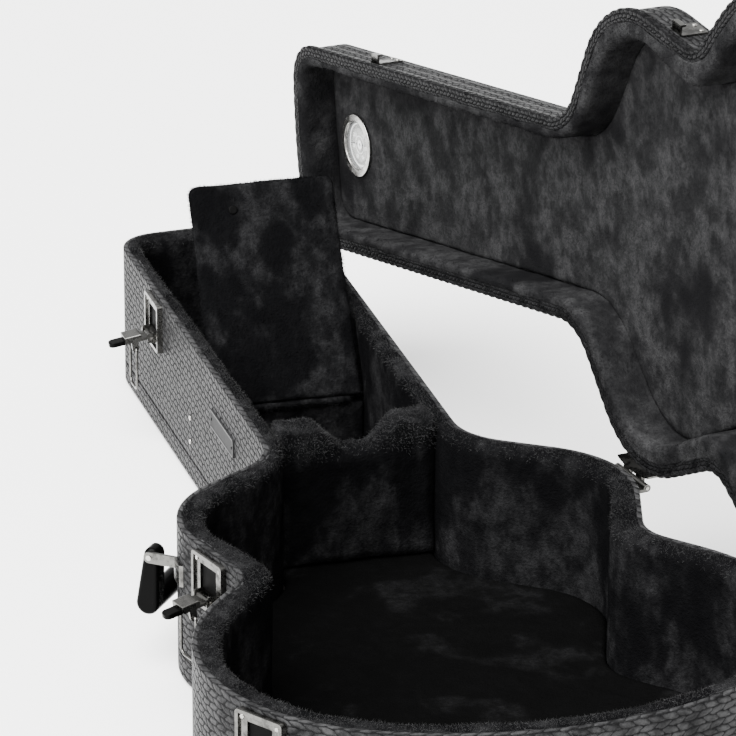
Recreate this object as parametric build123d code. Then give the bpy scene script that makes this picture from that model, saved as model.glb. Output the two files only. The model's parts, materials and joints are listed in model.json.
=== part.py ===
"""Hardshell case for a classical guitar, lying on its back with both lids open.

All sizes are in millimetres. +X points to the hinge side, +Y to the head end, +Z up.
The origin is on the middle of the underside. Sizes along the case are measured from the
tail end, and from_tail() turns them into Y. Every sub-part is written to parts/NODE.step.
"""
from build123d import *
import os
from dataclasses import dataclass, replace
from math import asin, atan2, cos, hypot, pi, radians, sin, sqrt

os.makedirs("parts", exist_ok=True)

# Plan outline of the shell, outside the covering: half widths and how they blend
case_length = 1067.0
lower_half = 232.0
lower_radius = 158.0
lower_at = 175.0
waist_step = 67.4
waist_half = lower_half - waist_step
waist_radius = 35.5
waist_after = 150.5
waist_at = lower_at + waist_after
upper_step = 45.8
upper_half = lower_half - upper_step
upper_radius = 92.6
upper_after = 92.5
upper_at = waist_at + upper_after
neck_half = 81.8
neck_radius = 55.5
neck_after = 149.0
neck_at = upper_at + neck_after
head_half = 87.9
head_corner = 35.0
head_bulge = 7.6

# Shell build-up
base_height = 131.0
lid_height = 43.0
cover_thick = 1.2
ply_thick = 5.0
cover_wrap = 22.0
cover_round = 5.0
seam_gap = 0.8
rim_strip = 7.0
lid_wrap = 14.0
rim_gap = 0.3
binding_wide = 9.0
binding_deep = 8.0
binding_proud = 2.4
binding_round = 1.2

# Plush padding: how far each stretch stands in from the shell's outside
pad_bout = 22.0
pad_waist = 27.0
pad_waist_radius = 44.0
pad_neck = 16.0
pad_head = 17.0
pad_round = 5.0
floor_pad = 9.0
floor_round = 6.0
lid_pad = 5.0
soft_gap = 0.3

# Neck cradle across the throat
cradle_before = 1.0
cradle_front = neck_at - cradle_before
cradle_deep = 30.0
cradle_proud = 5.5
notch_mouth_half = 36.0
notch_floor_half = 13.0
notch_deep = 22.5
notch_round = 14.0
cradle_round = 10.0

# Accessory compartment behind the cradle
bay_long = 226.0
hinge_wall_at = cradle_front + bay_long
hinge_wall_thick = 10.0
hinge_wall_top = 60.0
flap_clear_front = 3.0
flap_length = bay_long - cradle_deep - flap_clear_front
flap_board = 4.0
flap_plush = 2.6
flap_clear = 2.5
flap_taper = 2.5
flap_corner = 11.0
flap_rest = 118.0
flap_axis_lift = 4.9
flap_roll = 2.3
flap_roll_stem = 1.0
stud_in = 36.0
stud_down = 21.0
stud_radius = 4.0
stud_height = 1.6
nail_radius = 2.4
nail_heights = (38.0, 60.0)

# Lid hinges on the far side
lid_open = 90.6
axis_drop = 8.5
axis_gap_lower = 3.6
axis_gap_upper = 7.0
knuckle_radius = 3.2
hinge_pin_radius = 1.5
pin_running = 0.05
knuckle_count = 5
knuckle_length = 10.0
knuckle_gap = 0.3
leaf_thick = 1.5
leaf_off = 0.5
leaf_down = 26.0
leaf_up = 26.0
leaf_clear = 0.4
leaf_rim_gap = 0.2
hinge_pin_end = 0.5
hinge_rivet_along = 17.0
hinge_rivet_down = 18.0
hinge_rivet_up = 15.0

# Latches on the near side
latch_to_handle = 64.0
head_latch_in = 154.0
lower_latch_at = 88.0
plate_wide = 45.0
plate_high = 44.5
plate_down = 3.8
plate_thick = 5.0
plate_corner = 3.0
plate_edge = 3.0
dish_deep = 2.0
window_wide = 24.0
window_high = 22.0
window_down = 8.0
window_back = 1.2
window_gap = 0.2
plate_seat = 6.0
ear_thick = 2.0
ear_reach = 10.5
ear_root = 1.5
ear_high = 9.0
lever_axis_out = 7.0
lever_axis_down = 37.0
lever_pin_radius = 1.25
lever_side_gap = 0.3
pin_end = 0.6
lever_barrel = 2.5
lever_wide = 17.0
lever_thick = 2.2
lever_long = 36.5
lever_droop = 9.0
lever_body_from = 8.0
lever_body_to = 23.0
lever_body_up = 5.0
lever_body_round = 1.2
tongue_half = 3.5
tongue_long = 9.0
tab_half = 5.5
tab_under = 2.4
tab_over = 1.7
tab_corner = 4.4
tab_round = 0.9
cheek_thick = 2.5
bail_out = 15.0
bail_under = 7.0
bail_radius = 1.2
bail_half = 11.5
bail_long = 37.5
bail_bar_out = 5.2
bail_corner = 6.0
bail_turn = 1.9
bail_lug = 3.0
bail_end = 2.0
bar_gap = 0.2
lip_gap = 0.6
keeper_wide = 20.0
keeper_high = 24.0
keeper_thick = 1.6
keeper_corner = 2.1
keeper_rivet_inset = 4.4
hook_wide = 13.0
hook_thick = 1.7
hook_lip = 3.4
hook_round = 0.7
rivet_radius = 2.1
rivet_height = 1.0
head_roundness = 0.8
rivet_inset = 5.6

# Carrying handle on the upper bout
handle_after = 57.0
handle_at = upper_at + handle_after
handle_off = 10.5
handle_down = 34.5
handle_half = 47.0
handle_drop = 42.0
grip_lean = 4.0
grip_radius = 9.5
arm_wide = 13.0
arm_head = 6.5
grip_round = 3.5
strap_thick = 2.5
strap_half = 4.5
strap_gap = 0.5
strap_foot = 16.0
strap_foot_down = 13.5
strap_root = 36.0
pin_in = 2.0
pin_proud = 0.8
strap_bore_gap = 0.05
handle_pin_radius = 2.2

# Blank name plate and its pins
badge_after = 122.0
badge_at = cradle_front + badge_after
badge_long = 73.0
badge_high = 16.5
badge_thick = 1.2
badge_down = 41.5
badge_pin = 1.3
badge_pin_in = 3.9
badge_pin_high = 0.6

# Hygrometer in the lid, near the head end
gauge_in = 67.0
gauge_radius = 25.0
gauge_depth = 6.5
gauge_wall = 1.4
bezel_wide = 3.6
bezel_high = 2.2
bezel_lip = 1.8
bezel_round = 0.8
dial_thick = 0.8
needle_long = 16.0
needle_tail = 6.0
needle_wide = 1.2
needle_thick = 0.4
needle_lift = 1.4
hub_radius = 1.8
spindle_radius = 0.6
lens_thick = 1.2


def from_tail(distance):
    """Y of a place measured from the tail end."""
    return distance - case_length / 2


@dataclass
class Plan:
    """The right half of a guitar-shaped outline, symmetric about the Y axis."""
    lower: float
    lower_r: float
    waist: float
    waist_r: float
    upper: float
    upper_r: float
    neck: float
    neck_r: float
    head: float
    head_r: float
    head_sag: float
    tail_in: float
    head_in: float

    def circles(self):
        """Bout, waist, throat and head corner circles: x, y, radius, +1 bulging or -1 hollow."""
        head_end = case_length - self.head_in
        cap_r = self.cap_radius()
        corner_y = head_end - cap_r + sqrt((cap_r - self.head_r) ** 2 - (self.head - self.head_r) ** 2)
        return [
            (self.lower - self.lower_r, from_tail(lower_at), self.lower_r, 1),
            (self.waist + self.waist_r, from_tail(waist_at), self.waist_r, -1),
            (self.upper - self.upper_r, from_tail(upper_at), self.upper_r, 1),
            (self.neck + self.neck_r, from_tail(neck_at), self.neck_r, -1),
            (self.head - self.head_r, from_tail(corner_y), self.head_r, 1),
        ]

    def cap_radius(self):
        """Radius of the shallow arc across the head end."""
        return (self.head ** 2 + self.head_sag ** 2) / (2 * self.head_sag)

    def tail_radius(self):
        """Radius of the tail arc, which runs smoothly into the lower bout."""
        run = lower_at - self.tail_in
        side = self.lower - self.lower_r
        return (side ** 2 + run ** 2 - self.lower_r ** 2) / (2 * (run - self.lower_r))

    def segments(self):
        """The right half from tail to head: ("arc", centre, radius, turn, start, end) and lines."""
        discs = self.circles()
        tail_y = from_tail(self.tail_in)
        tail_r = self.tail_radius()
        tail_c = (0.0, tail_y + tail_r)
        first = discs[0]
        reach = hypot(first[0] - tail_c[0], first[1] - tail_c[1])
        joint = (
            tail_c[0] + (first[0] - tail_c[0]) * tail_r / reach,
            tail_c[1] + (first[1] - tail_c[1]) * tail_r / reach,
        )
        pieces = [("arc", tail_c, tail_r, 1, (0.0, tail_y), joint)]
        start = joint
        for one, two in zip(discs, discs[1:]):
            leave, arrive = tangent(one, two)
            pieces.append(("arc", one[:2], one[2], one[3], start, leave))
            pieces.append(("line", leave, arrive))
            start = arrive
        last = discs[-1]
        cap_r = self.cap_radius()
        head_y = from_tail(case_length - self.head_in)
        cap_c = (0.0, head_y - cap_r)
        reach = hypot(last[0] - cap_c[0], last[1] - cap_c[1])
        corner = (
            last[0] + (last[0] - cap_c[0]) * last[2] / reach,
            last[1] + (last[1] - cap_c[1]) * last[2] / reach,
        )
        pieces.append(("arc", last[:2], last[2], 1, start, corner))
        pieces.append(("arc", cap_c, cap_r, 1, corner, (0.0, head_y)))
        return pieces

    def inset(self, amount):
        """The same outline moved inwards by an even amount."""
        return replace(
            self,
            lower=self.lower - amount, lower_r=self.lower_r - amount,
            waist=self.waist - amount, waist_r=self.waist_r + amount,
            upper=self.upper - amount, upper_r=self.upper_r - amount,
            neck=self.neck - amount, neck_r=self.neck_r + amount,
            head=self.head - amount, head_r=self.head_r - amount,
            head_sag=self.sag_at(amount),
            tail_in=self.tail_in + amount, head_in=self.head_in + amount,
        )

    def sag_at(self, amount):
        """Bulge of the head end once its arc is moved inwards."""
        cap_r = self.cap_radius() - amount
        half = self.head - amount
        return cap_r - sqrt(cap_r ** 2 - half ** 2)

    def wire(self):
        """The whole closed outline."""
        edges = []
        for side in (1, -1):
            for piece in self.segments():
                edges.append(make_edge(piece, side))
        return Wire(edges)

    def face(self):
        """The whole outline as a flat face."""
        return Face(self.wire())

    def spot(self, y, side):
        """Point and outward normal where the outline crosses a given Y, on side +1 or -1."""
        for piece in self.segments()[1:-1]:
            low, high = piece[-2][1], piece[-1][1]
            if piece[0] == "arc" and piece[1][1] - piece[2] < y < piece[1][1] + piece[2]:
                centre, radius, turn = piece[1], piece[2], piece[3]
                x = centre[0] + turn * sqrt(radius ** 2 - (y - centre[1]) ** 2)
                if min(low, high) <= y <= max(low, high):
                    normal = (turn * (x - centre[0]) / radius, turn * (y - centre[1]) / radius)
                    return (side * x, y), (side * normal[0], normal[1])
            if piece[0] == "line" and min(low, high) <= y <= max(low, high):
                start, end = piece[1], piece[2]
                run = hypot(end[0] - start[0], end[1] - start[1])
                x = start[0] + (end[0] - start[0]) * (y - start[1]) / (end[1] - start[1])
                normal = ((end[1] - start[1]) / run, -(end[0] - start[0]) / run)
                return (side * x, y), (side * normal[0], normal[1])
        raise ValueError("no wall at this place")


def tangent(one, two):
    """Contact points of the straight wall between two circles, each +1 bulging or -1 hollow."""
    run = hypot(two[0] - one[0], two[1] - one[1])
    heading = atan2(two[1] - one[1], two[0] - one[0])
    heading += asin((one[3] * one[2] - two[3] * two[2]) / run)
    normal = (sin(heading), -cos(heading))
    return tuple(
        (disc[0] + disc[3] * disc[2] * normal[0], disc[1] + disc[3] * disc[2] * normal[1])
        for disc in (one, two)
    )


def make_edge(piece, side):
    """One outline segment as an edge, mirrored for side -1."""
    if piece[0] == "line":
        return Edge.make_line((side * piece[1][0], piece[1][1]), (side * piece[2][0], piece[2][1]))
    centre, radius, turn, start, end = piece[1:]
    begin = atan2(start[1] - centre[1], start[0] - centre[0])
    finish = atan2(end[1] - centre[1], end[0] - centre[0])
    if turn > 0 and finish < begin:
        finish += 2 * pi
    if turn < 0 and finish > begin:
        finish -= 2 * pi
    half_way = (begin + finish) / 2
    middle = (centre[0] + radius * cos(half_way), centre[1] + radius * sin(half_way))
    points = [(side * point[0], point[1]) for point in (start, middle, end)]
    return Edge.make_three_point_arc(*points)


shell = Plan(
    lower_half, lower_radius, waist_half, waist_radius, upper_half, upper_radius,
    neck_half, neck_radius, head_half, head_corner, head_bulge, 0.0, 0.0,
)
inside = replace(
    shell,
    lower=lower_half - pad_bout, lower_r=lower_radius - pad_bout,
    waist=waist_half - pad_waist, waist_r=pad_waist_radius,
    upper=upper_half - pad_bout, upper_r=upper_radius - pad_bout,
    neck=neck_half - pad_neck, neck_r=neck_radius + pad_bout,
    head=head_half - pad_neck, head_r=head_corner - pad_neck,
    head_sag=shell.sag_at(pad_neck),
    tail_in=pad_bout, head_in=pad_head,
)


def slab(plan, low, high):
    """A plate of the outline between two heights."""
    return extrude(plan.face().moved(Location((0, 0, low))), high - low)


def ring(outer, inner, low, high):
    """A wall between two outlines and two heights."""
    return slab(outer, low, high) - slab(inner, low, high)


def round_rim(solid, height, radius):
    """Round every edge that lies at one height."""
    rim = solid.edges().filter_by_position(Axis.Z, height - 0.01, height + 0.01)
    return fillet(rim, radius)


def round_mouth(face, radius):
    """Round the inner edge of one flat rim of a ring."""
    return fillet(face.inner_wires()[0].edges(), radius)


def tray(plan, low, high, radius):
    """A plate of the outline with its lower edge rounded."""
    return round_rim(slab(plan, low, high), low, radius)


def box(x_range, y_range, z_range):
    """A box between six values."""
    size = [high - low for low, high in (x_range, y_range, z_range)]
    middle = [(high + low) / 2 for low, high in (x_range, y_range, z_range)]
    return Pos(*middle) * Box(*size)


def rod_x(radius, x_range, y, z):
    """A round bar along X."""
    middle = (x_range[0] + x_range[1]) / 2
    return Pos(middle, y, z) * Rot(0, 90, 0) * Cylinder(radius, x_range[1] - x_range[0])


def rod_y(radius, x, y_range, z):
    """A round bar along Y."""
    middle = (y_range[0] + y_range[1]) / 2
    return Pos(x, middle, z) * Rot(90, 0, 0) * Cylinder(radius, y_range[1] - y_range[0])


def dome(radius, height, x, y_range, z):
    """A rivet head that stands out along +Y: a short disc with a rounded face."""
    head = rod_y(radius, x, y_range, z)
    face = head.edges().filter_by_position(Axis.Y, y_range[1] - 0.01, y_range[1] + 0.01)
    return fillet(face, height * head_roundness)


def wall_frame(y, side):
    """Local axes on the wall: X along the wall, Y outwards, Z up."""
    point, normal = shell.spot(y, side)
    return Plane(
        origin=(point[0], point[1], 0),
        x_dir=(normal[1], -normal[0], 0),
        z_dir=(0, 0, 1),
    ).location


def group(solids):
    """Several separate solids of one node."""
    flat = []
    for solid in solids:
        flat.extend(solid.solids())
    return Compound(children=flat) if len(flat) > 1 else flat[0]


parts = {}

# Lid hinge axis, a little outside the two bouts on the hinge side
lower_disc = shell.circles()[0]
upper_disc = shell.circles()[2]
lower_touch, upper_touch = tangent(lower_disc, upper_disc)
touch_run = hypot(upper_touch[0] - lower_touch[0], upper_touch[1] - lower_touch[1])
out_x = (upper_touch[1] - lower_touch[1]) / touch_run
out_y = -(upper_touch[0] - lower_touch[0]) / touch_run
axis_z = base_height - axis_drop
axis_low = Vector(lower_touch[0] + out_x * axis_gap_lower, lower_touch[1] + out_y * axis_gap_lower, axis_z)
axis_high = Vector(upper_touch[0] + out_x * axis_gap_upper, upper_touch[1] + out_y * axis_gap_upper, axis_z)
lid_axis = Axis(axis_low, axis_high - axis_low)


def open_lid(solid):
    """Swing a piece that was modelled on the shut lid to where it stands open."""
    return solid.rotate(lid_axis, lid_open)


# Base shell
floor_top = cover_thick + ply_thick
wall_inset = shell.inset(cover_thick)
wall_inner = shell.inset(cover_thick + ply_thick)
pan_inner = tray(wall_inset, cover_thick, cover_wrap + 1, cover_round - cover_thick)
parts["bottom_cover"] = tray(shell, 0, cover_wrap, cover_round) - pan_inner
parts["bottom_panel"] = tray(wall_inset, cover_thick, floor_top, cover_round - cover_thick)
parts["side_wall"] = ring(wall_inset, wall_inner, floor_top, base_height - cover_thick)
cover_skin = ring(shell, wall_inset, cover_wrap + seam_gap, base_height - cover_thick)
cover_turn = ring(shell, shell.inset(rim_strip), base_height - cover_thick, base_height)
parts["wall_cover"] = round_rim(cover_skin + cover_turn, base_height, cover_thick * head_roundness)

# Plush lining of the base
pad_top = base_height - rim_gap
lining = ring(wall_inner, inside, floor_top, base_height - cover_thick)
lip = ring(shell.inset(rim_strip + soft_gap), inside, base_height - cover_thick, pad_top)
lining += lip
parts["side_padding"] = round_mouth(lining.faces().sort_by(Axis.Z)[-1], pad_round)
floor_plan = inside.inset(soft_gap)
floor_high = floor_top + floor_pad
parts["floor_padding"] = round_rim(slab(floor_plan, floor_top, floor_high), floor_high, floor_round)

# Neck cradle, a padded block with a notch for the neck
throat = inside.inset(soft_gap)
cradle_low = floor_high + soft_gap
cradle_top = base_height + cradle_proud
cradle_back = cradle_front + cradle_deep
cradle = box(
    (-neck_half, neck_half),
    (from_tail(cradle_front), from_tail(cradle_back)),
    (cradle_low, cradle_top),
) & slab(throat, cradle_low, cradle_top)
notch_outline = Polyline(
    (-notch_floor_half, from_tail(cradle_back), cradle_top - notch_deep),
    (notch_floor_half, from_tail(cradle_back), cradle_top - notch_deep),
    (notch_mouth_half, from_tail(cradle_back), cradle_top),
    (-notch_mouth_half, from_tail(cradle_back), cradle_top),
    close=True,
)
notch = extrude(Face(Wire(notch_outline.edges())), cradle_deep, dir=(0, -1, 0))
notch = fillet(notch.edges().filter_by(Axis.Y).sort_by(Axis.Z)[:2], notch_round)
cradle = cradle - notch
notch_mouth = cradle.edges().filter_by(Axis.Y).filter_by_position(Axis.Z, cradle_top - 0.1, cradle_top + 0.1)
notch_mouth = notch_mouth.filter_by_position(Axis.X, -notch_mouth_half - 0.1, notch_mouth_half + 0.1)
cradle = fillet(notch_mouth, cradle_round)
parts["neck_cradle"] = cradle

# Accessory compartment: its head-side wall and the flap that it carries
hinge_y = from_tail(hinge_wall_at)
flap_axis_z = hinge_wall_top + flap_axis_lift
flap_hinge_half = abs(inside.spot(hinge_y, 1)[0][0]) - flap_clear
wall_block = box(
    (-head_half, head_half),
    (hinge_y, hinge_y + hinge_wall_thick),
    (floor_high + soft_gap, hinge_wall_top),
) & slab(throat, floor_high, hinge_wall_top)
parts["compartment_wall"] = wall_block
roll_half = flap_hinge_half - flap_corner
stem = box((-roll_half, roll_half), (hinge_y, hinge_y + flap_roll_stem), (hinge_wall_top, flap_axis_z))
parts["flap_hinge_roll"] = rod_x(flap_roll, (-roll_half, roll_half), hinge_y, flap_axis_z) + stem
flap_axis = Axis((0, hinge_y, flap_axis_z), (-1, 0, 0))
flap_free_half = flap_hinge_half - flap_taper
flap_thick = flap_board + 2 * flap_plush


def flap_plate(shrink, low, high):
    """The flap's outline as a plate, shut flat towards the tail from its hinge line."""
    hinge_edge = hinge_y - flap_roll - soft_gap - shrink
    free_edge = hinge_y - flap_length + shrink
    outline = Polyline(
        (-flap_free_half + shrink, free_edge),
        (flap_free_half - shrink, free_edge),
        (flap_hinge_half - shrink, hinge_edge),
        (-flap_hinge_half + shrink, hinge_edge),
        close=True,
    )
    plate = extrude(Face(Wire(outline.edges())).moved(Location((0, 0, flap_axis_z + low))), high - low)
    corners = plate.edges().filter_by(Axis.Z).sort_by(Axis.Y)[:2]
    return fillet(corners, flap_corner - shrink)


def raise_flap(solid):
    """Turn a piece modelled on the level flap to where the flap stands raised."""
    return solid.rotate(flap_axis, flap_rest)


board = flap_plate(flap_plush, -flap_board / 2, flap_board / 2)
plush = flap_plate(0, -flap_thick / 2, flap_thick / 2)
for face_side in (1, -1):
    plush = round_rim(plush, flap_axis_z + face_side * flap_thick / 2, flap_plush * head_roundness)
plush -= board
stud_y = hinge_y - flap_length + stud_down
stud_x = -flap_free_half + stud_in
stud_seat = flap_axis_z - flap_thick / 2
stud = Pos(stud_x, stud_y, stud_seat - stud_height / 2) * Cylinder(stud_radius, stud_height)
stud = round_rim(stud, stud_seat - stud_height, stud_height * head_roundness)
parts["flap_board"] = raise_flap(board)
parts["flap_plush"] = raise_flap(plush)
parts["flap_stud"] = raise_flap(stud)

# Nails through the side walls into the compartment wall
nails = []
for side in (-1, 1):
    nail_frame = wall_frame(hinge_y + hinge_wall_thick / 2, side)
    for height in nail_heights:
        nails.append(nail_frame * dome(nail_radius, rivet_height, 0, (0, rivet_height), height))
parts["wall_nails"] = group(nails)

# Blank name plate on the neck wall
badge_centre = base_height - badge_down
badge_frame = wall_frame(from_tail(badge_at), -1)
badge = box(
    (-badge_long / 2, badge_long / 2),
    (0, badge_thick),
    (badge_centre - badge_high / 2, badge_centre + badge_high / 2),
)
badge = fillet(badge.edges().filter_by(Axis.Y), badge_thick)
pin_places = [side * (badge_long / 2 - badge_pin_in) for side in (-1, 1)]
pin_span = (badge_thick, badge_thick + badge_pin_high)
badge_pins = [dome(badge_pin, badge_pin_high, x, pin_span, badge_centre) for x in pin_places]
parts["name_plate"] = badge_frame * badge
parts["name_plate_pins"] = group([badge_frame * pin for pin in badge_pins])

# Latches: plate, lever and bail on the base, keeper on the lid
latch_rivets = []
latch_backs = []
lever_pins = []
keeper_rivets = []
shell_block = slab(shell, 0, base_height)
lid_block = slab(shell, base_height, base_height + lid_height)
latch_places = {
    "head": case_length - head_latch_in,
    "waist": handle_at - handle_half - latch_to_handle,
    "lower": lower_latch_at,
}
plate_top = base_height - plate_down
window_top = plate_top - window_down
lever_axis_up = base_height - lever_axis_down
bail_lean = asin((lever_axis_out + bail_under - bail_bar_out) / bail_long)
bail_bar_z = lever_axis_up + bail_out + bail_long * cos(bail_lean)
hook_floor = bail_bar_z - bail_radius - bar_gap
hook_low = hook_floor - hook_thick


def latch_plate():
    """Dished plate with a raised edge, a window, and two ears that carry the lever's pin."""
    low = plate_top - plate_high
    plate = box((-plate_wide / 2, plate_wide / 2), (-plate_seat, plate_thick), (low, plate_top))
    plate = fillet(plate.edges().filter_by(Axis.Y), plate_corner)
    plate -= box(
        (-plate_wide / 2 + plate_edge, plate_wide / 2 - plate_edge),
        (plate_thick - dish_deep, plate_thick),
        (low + plate_edge, plate_top - plate_edge),
    )
    plate -= box(
        (-window_wide / 2, window_wide / 2),
        (-plate_seat, plate_thick),
        (window_top - window_high, window_top),
    )
    for side in (-1, 1):
        near = side * (lever_wide / 2 + lever_side_gap)
        far = near + side * ear_thick
        ear = box(
            (min(near, far), max(near, far)),
            (plate_thick - dish_deep - ear_root, ear_reach),
            (lever_axis_up - ear_high / 2, lever_axis_up + ear_high / 2),
        )
        outer = ear.edges().filter_by(Axis.X).filter_by_position(Axis.Y, ear_reach - 0.01, ear_reach + 0.01)
        plate += fillet(outer, ear_thick)
    reach = lever_wide / 2 + lever_side_gap + ear_thick
    return plate - rod_x(lever_pin_radius, (-reach, reach), lever_axis_out, lever_axis_up)


def latch_back():
    """Dark plate that closes the window behind the lever."""
    half = window_wide / 2 - window_gap
    z_range = (window_top - window_high + window_gap, window_top - window_gap)
    return box((-half, half), (-plate_seat, window_back), z_range)


def droop(solid):
    """Turn a piece of the level lever to where the open lever rests."""
    return solid.rotate(Axis((0, lever_axis_out, lever_axis_up), (-1, 0, 0)), lever_droop)


def latch_lever():
    """Lever level with its pin: barrel, blade with a raised body, tongue, and cheeks for the bail."""
    half = lever_wide / 2
    barrel = rod_x(lever_barrel, (-half, half), lever_axis_out, lever_axis_up)
    shoulder = lever_axis_out + lever_body_to
    level = (lever_axis_up - lever_thick / 2, lever_axis_up + lever_thick / 2)
    blade = box((-half, half), (lever_axis_out, shoulder), level)
    body = box(
        (-half, half),
        (lever_axis_out + lever_body_from, shoulder),
        (lever_axis_up - lever_thick / 2, lever_axis_up + lever_body_up),
    )
    body = fillet(body.faces().sort_by(Axis.Z)[-1].edges(), lever_body_round)
    tongue = box((-tongue_half, tongue_half), (shoulder, shoulder + tongue_long), level)
    lever = barrel + blade + body + tongue
    bail_y = lever_axis_out + bail_out
    bail_z = lever_axis_up - bail_under
    for side in (-1, 1):
        near = side * (half - cheek_thick)
        x_range = (min(near, side * half), max(near, side * half))
        cheek = box(x_range, (bail_y - bail_lug, bail_y + bail_lug), (bail_z, lever_axis_up))
        lever += cheek + rod_x(bail_lug, x_range, bail_y, bail_z)
    lever -= rod_x(lever_pin_radius + pin_running, (-half, half), lever_axis_out, lever_axis_up)
    lever -= rod_x(bail_radius + pin_running, (-half, half), bail_y, bail_z)
    return droop(lever)


def latch_tab():
    """Moulded thumb tab pushed over the lever's tongue."""
    shoulder = lever_axis_out + lever_body_to
    tip = lever_axis_out + lever_long
    tab = box(
        (-tab_half, tab_half),
        (shoulder, tip),
        (lever_axis_up - tab_under, lever_axis_up + tab_over),
    )
    end = tab.edges().filter_by(Axis.Z).filter_by_position(Axis.Y, tip - 0.01, tip + 0.01)
    tab = fillet(end, tab_corner)
    tab = fillet(tab.faces().sort_by(Axis.Z)[-1].edges(), tab_round)
    level = (lever_axis_up - lever_thick / 2, lever_axis_up + lever_thick / 2)
    tab -= box((-tongue_half, tongue_half), (shoulder, shoulder + tongue_long), level)
    return droop(tab)


def bail_place():
    """The bail's pivot on the drooping lever: distance out from the wall and height."""
    drop = radians(lever_droop)
    out = lever_axis_out + bail_out * cos(drop) - bail_under * sin(drop)
    return out, lever_axis_up - bail_out * sin(drop) - bail_under * cos(drop)


def latch_bail():
    """Wire loop that hangs from the lever: two turned-in ends, two legs and a cross bar."""
    out, up = bail_place()
    low = up - bail_long
    end_in = lever_wide / 2 - bail_end
    path = FilletPolyline(
        (-end_in, out, up), (-bail_half, out, up), (-bail_half, out, low),
        (bail_half, out, low), (bail_half, out, up), (end_in, out, up),
        radius=(bail_turn, bail_corner, bail_corner, bail_turn),
    )
    start = Plane(origin=(-end_in, out, up), z_dir=(-1, 0, 0))
    return sweep(start * Circle(bail_radius), path=path)


def keeper():
    """Keeper plate on the shut lid, with a hook that the bail's bar lies in."""
    plate = box(
        (-keeper_wide / 2, keeper_wide / 2),
        (-plate_seat, keeper_thick),
        (hook_low, hook_low + keeper_high),
    )
    plate = fillet(plate.edges().filter_by(Axis.Y), keeper_corner)
    lip_out = bail_bar_out + bail_radius + lip_gap
    ledge = box((-hook_wide / 2, hook_wide / 2), (0, lip_out + hook_thick), (hook_low, hook_floor))
    lip = box(
        (-hook_wide / 2, hook_wide / 2),
        (lip_out, lip_out + hook_thick),
        (hook_low, hook_floor + hook_lip),
    )
    corner = lip.edges().filter_by(Axis.X).sort_by(Axis.Z)[-2:]
    return plate + ledge + fillet(corner, hook_round)


for place, distance in latch_places.items():
    frame = wall_frame(from_tail(distance), -1)
    parts["latch_plate_" + place] = frame * latch_plate() - shell_block
    parts["latch_lever_" + place] = frame * latch_lever()
    parts["latch_tab_" + place] = frame * latch_tab()
    latch_backs.append(frame * latch_back() - shell_block)
    parts["latch_bail_" + place] = frame * latch_bail()
    parts["keeper_" + place] = open_lid(frame * keeper() - lid_block)
    reach = lever_wide / 2 + lever_side_gap + ear_thick + pin_end
    lever_pins.append(frame * rod_x(lever_pin_radius, (-reach, reach), lever_axis_out, lever_axis_up))
    for side in (-1, 1):
        x = side * (plate_wide / 2 - rivet_inset)
        for z in (plate_top - rivet_inset, plate_top - plate_high + rivet_inset):
            seat = plate_thick - dish_deep
            head = dome(rivet_radius, rivet_height, x, (seat, seat + rivet_height), z)
            latch_rivets.append(frame * head)
        x = side * (keeper_wide / 2 - keeper_rivet_inset)
        z = hook_low + keeper_high - keeper_rivet_inset
        head = dome(rivet_radius, rivet_height, x, (keeper_thick, keeper_thick + rivet_height), z)
        keeper_rivets.append(open_lid(frame * head))
parts["lever_pins"] = group(lever_pins)
parts["latch_rivets"] = group(latch_rivets)
parts["latch_backs"] = group(latch_backs)
parts["keeper_rivets"] = group(keeper_rivets)

# Carrying handle: moulded grip between two metal straps
handle_frame = wall_frame(from_tail(handle_at), -1)
handle_up = base_height - handle_down
arm_inner = handle_half - arm_wide
grip_z = handle_up - handle_drop


def handle_grip():
    """Grip hanging from its two pivots as one moulded piece, a little further out than they are."""
    grip_out = handle_off + grip_lean
    grip = rod_x(grip_radius, (-handle_half, handle_half), grip_out, grip_z)
    pivot = (handle_off, handle_up, arm_head, 1)
    palm = (grip_out, grip_z, grip_radius, 1)
    sides = tangent(pivot, palm) + tangent(palm, pivot)
    for side in (-1, 1):
        outer = side * handle_half
        inner = side * arm_inner
        x_range = (min(outer, inner), max(outer, inner))
        outline = Polyline(*[(x_range[0], y, z) for y, z in sides], close=True)
        arm = extrude(Face(Wire(outline.edges())), arm_wide, dir=(1, 0, 0))
        grip += arm + rod_x(arm_head, x_range, handle_off, handle_up)
    ends = grip.edges().filter_by_position(Axis.X, -handle_half - 0.01, -handle_half + 0.01)
    ends += grip.edges().filter_by_position(Axis.X, handle_half - 0.01, handle_half + 0.01)
    grip = fillet(ends, grip_round)
    bore = handle_pin_radius + strap_bore_gap
    return grip - rod_x(bore, (-handle_half, handle_half), handle_off, handle_up)


def handle_strap(side):
    """Metal strap from the wall to the handle's pivot, with a foot on the wall."""
    near = side * (handle_half + strap_gap)
    far = near + side * strap_thick
    x_range = (min(near, far), max(near, far))
    bar = box(x_range, (-strap_root, handle_off), (handle_up - strap_half, handle_up + strap_half))
    bar += rod_x(strap_half, x_range, handle_off, handle_up)
    foot_far = near + side * strap_foot
    foot_low = handle_up - strap_foot_down
    foot = ring(shell.inset(-strap_thick), shell, foot_low, handle_up + strap_half)
    foot_box = box(
        (min(near, foot_far), max(near, foot_far)),
        (-strap_root, handle_off),
        (foot_low, handle_up + strap_half),
    )
    strap = handle_frame * bar - shell_block
    strap += foot & (handle_frame * foot_box)
    return strap - handle_frame * rod_x(handle_pin_radius, x_range, handle_off, handle_up)


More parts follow.
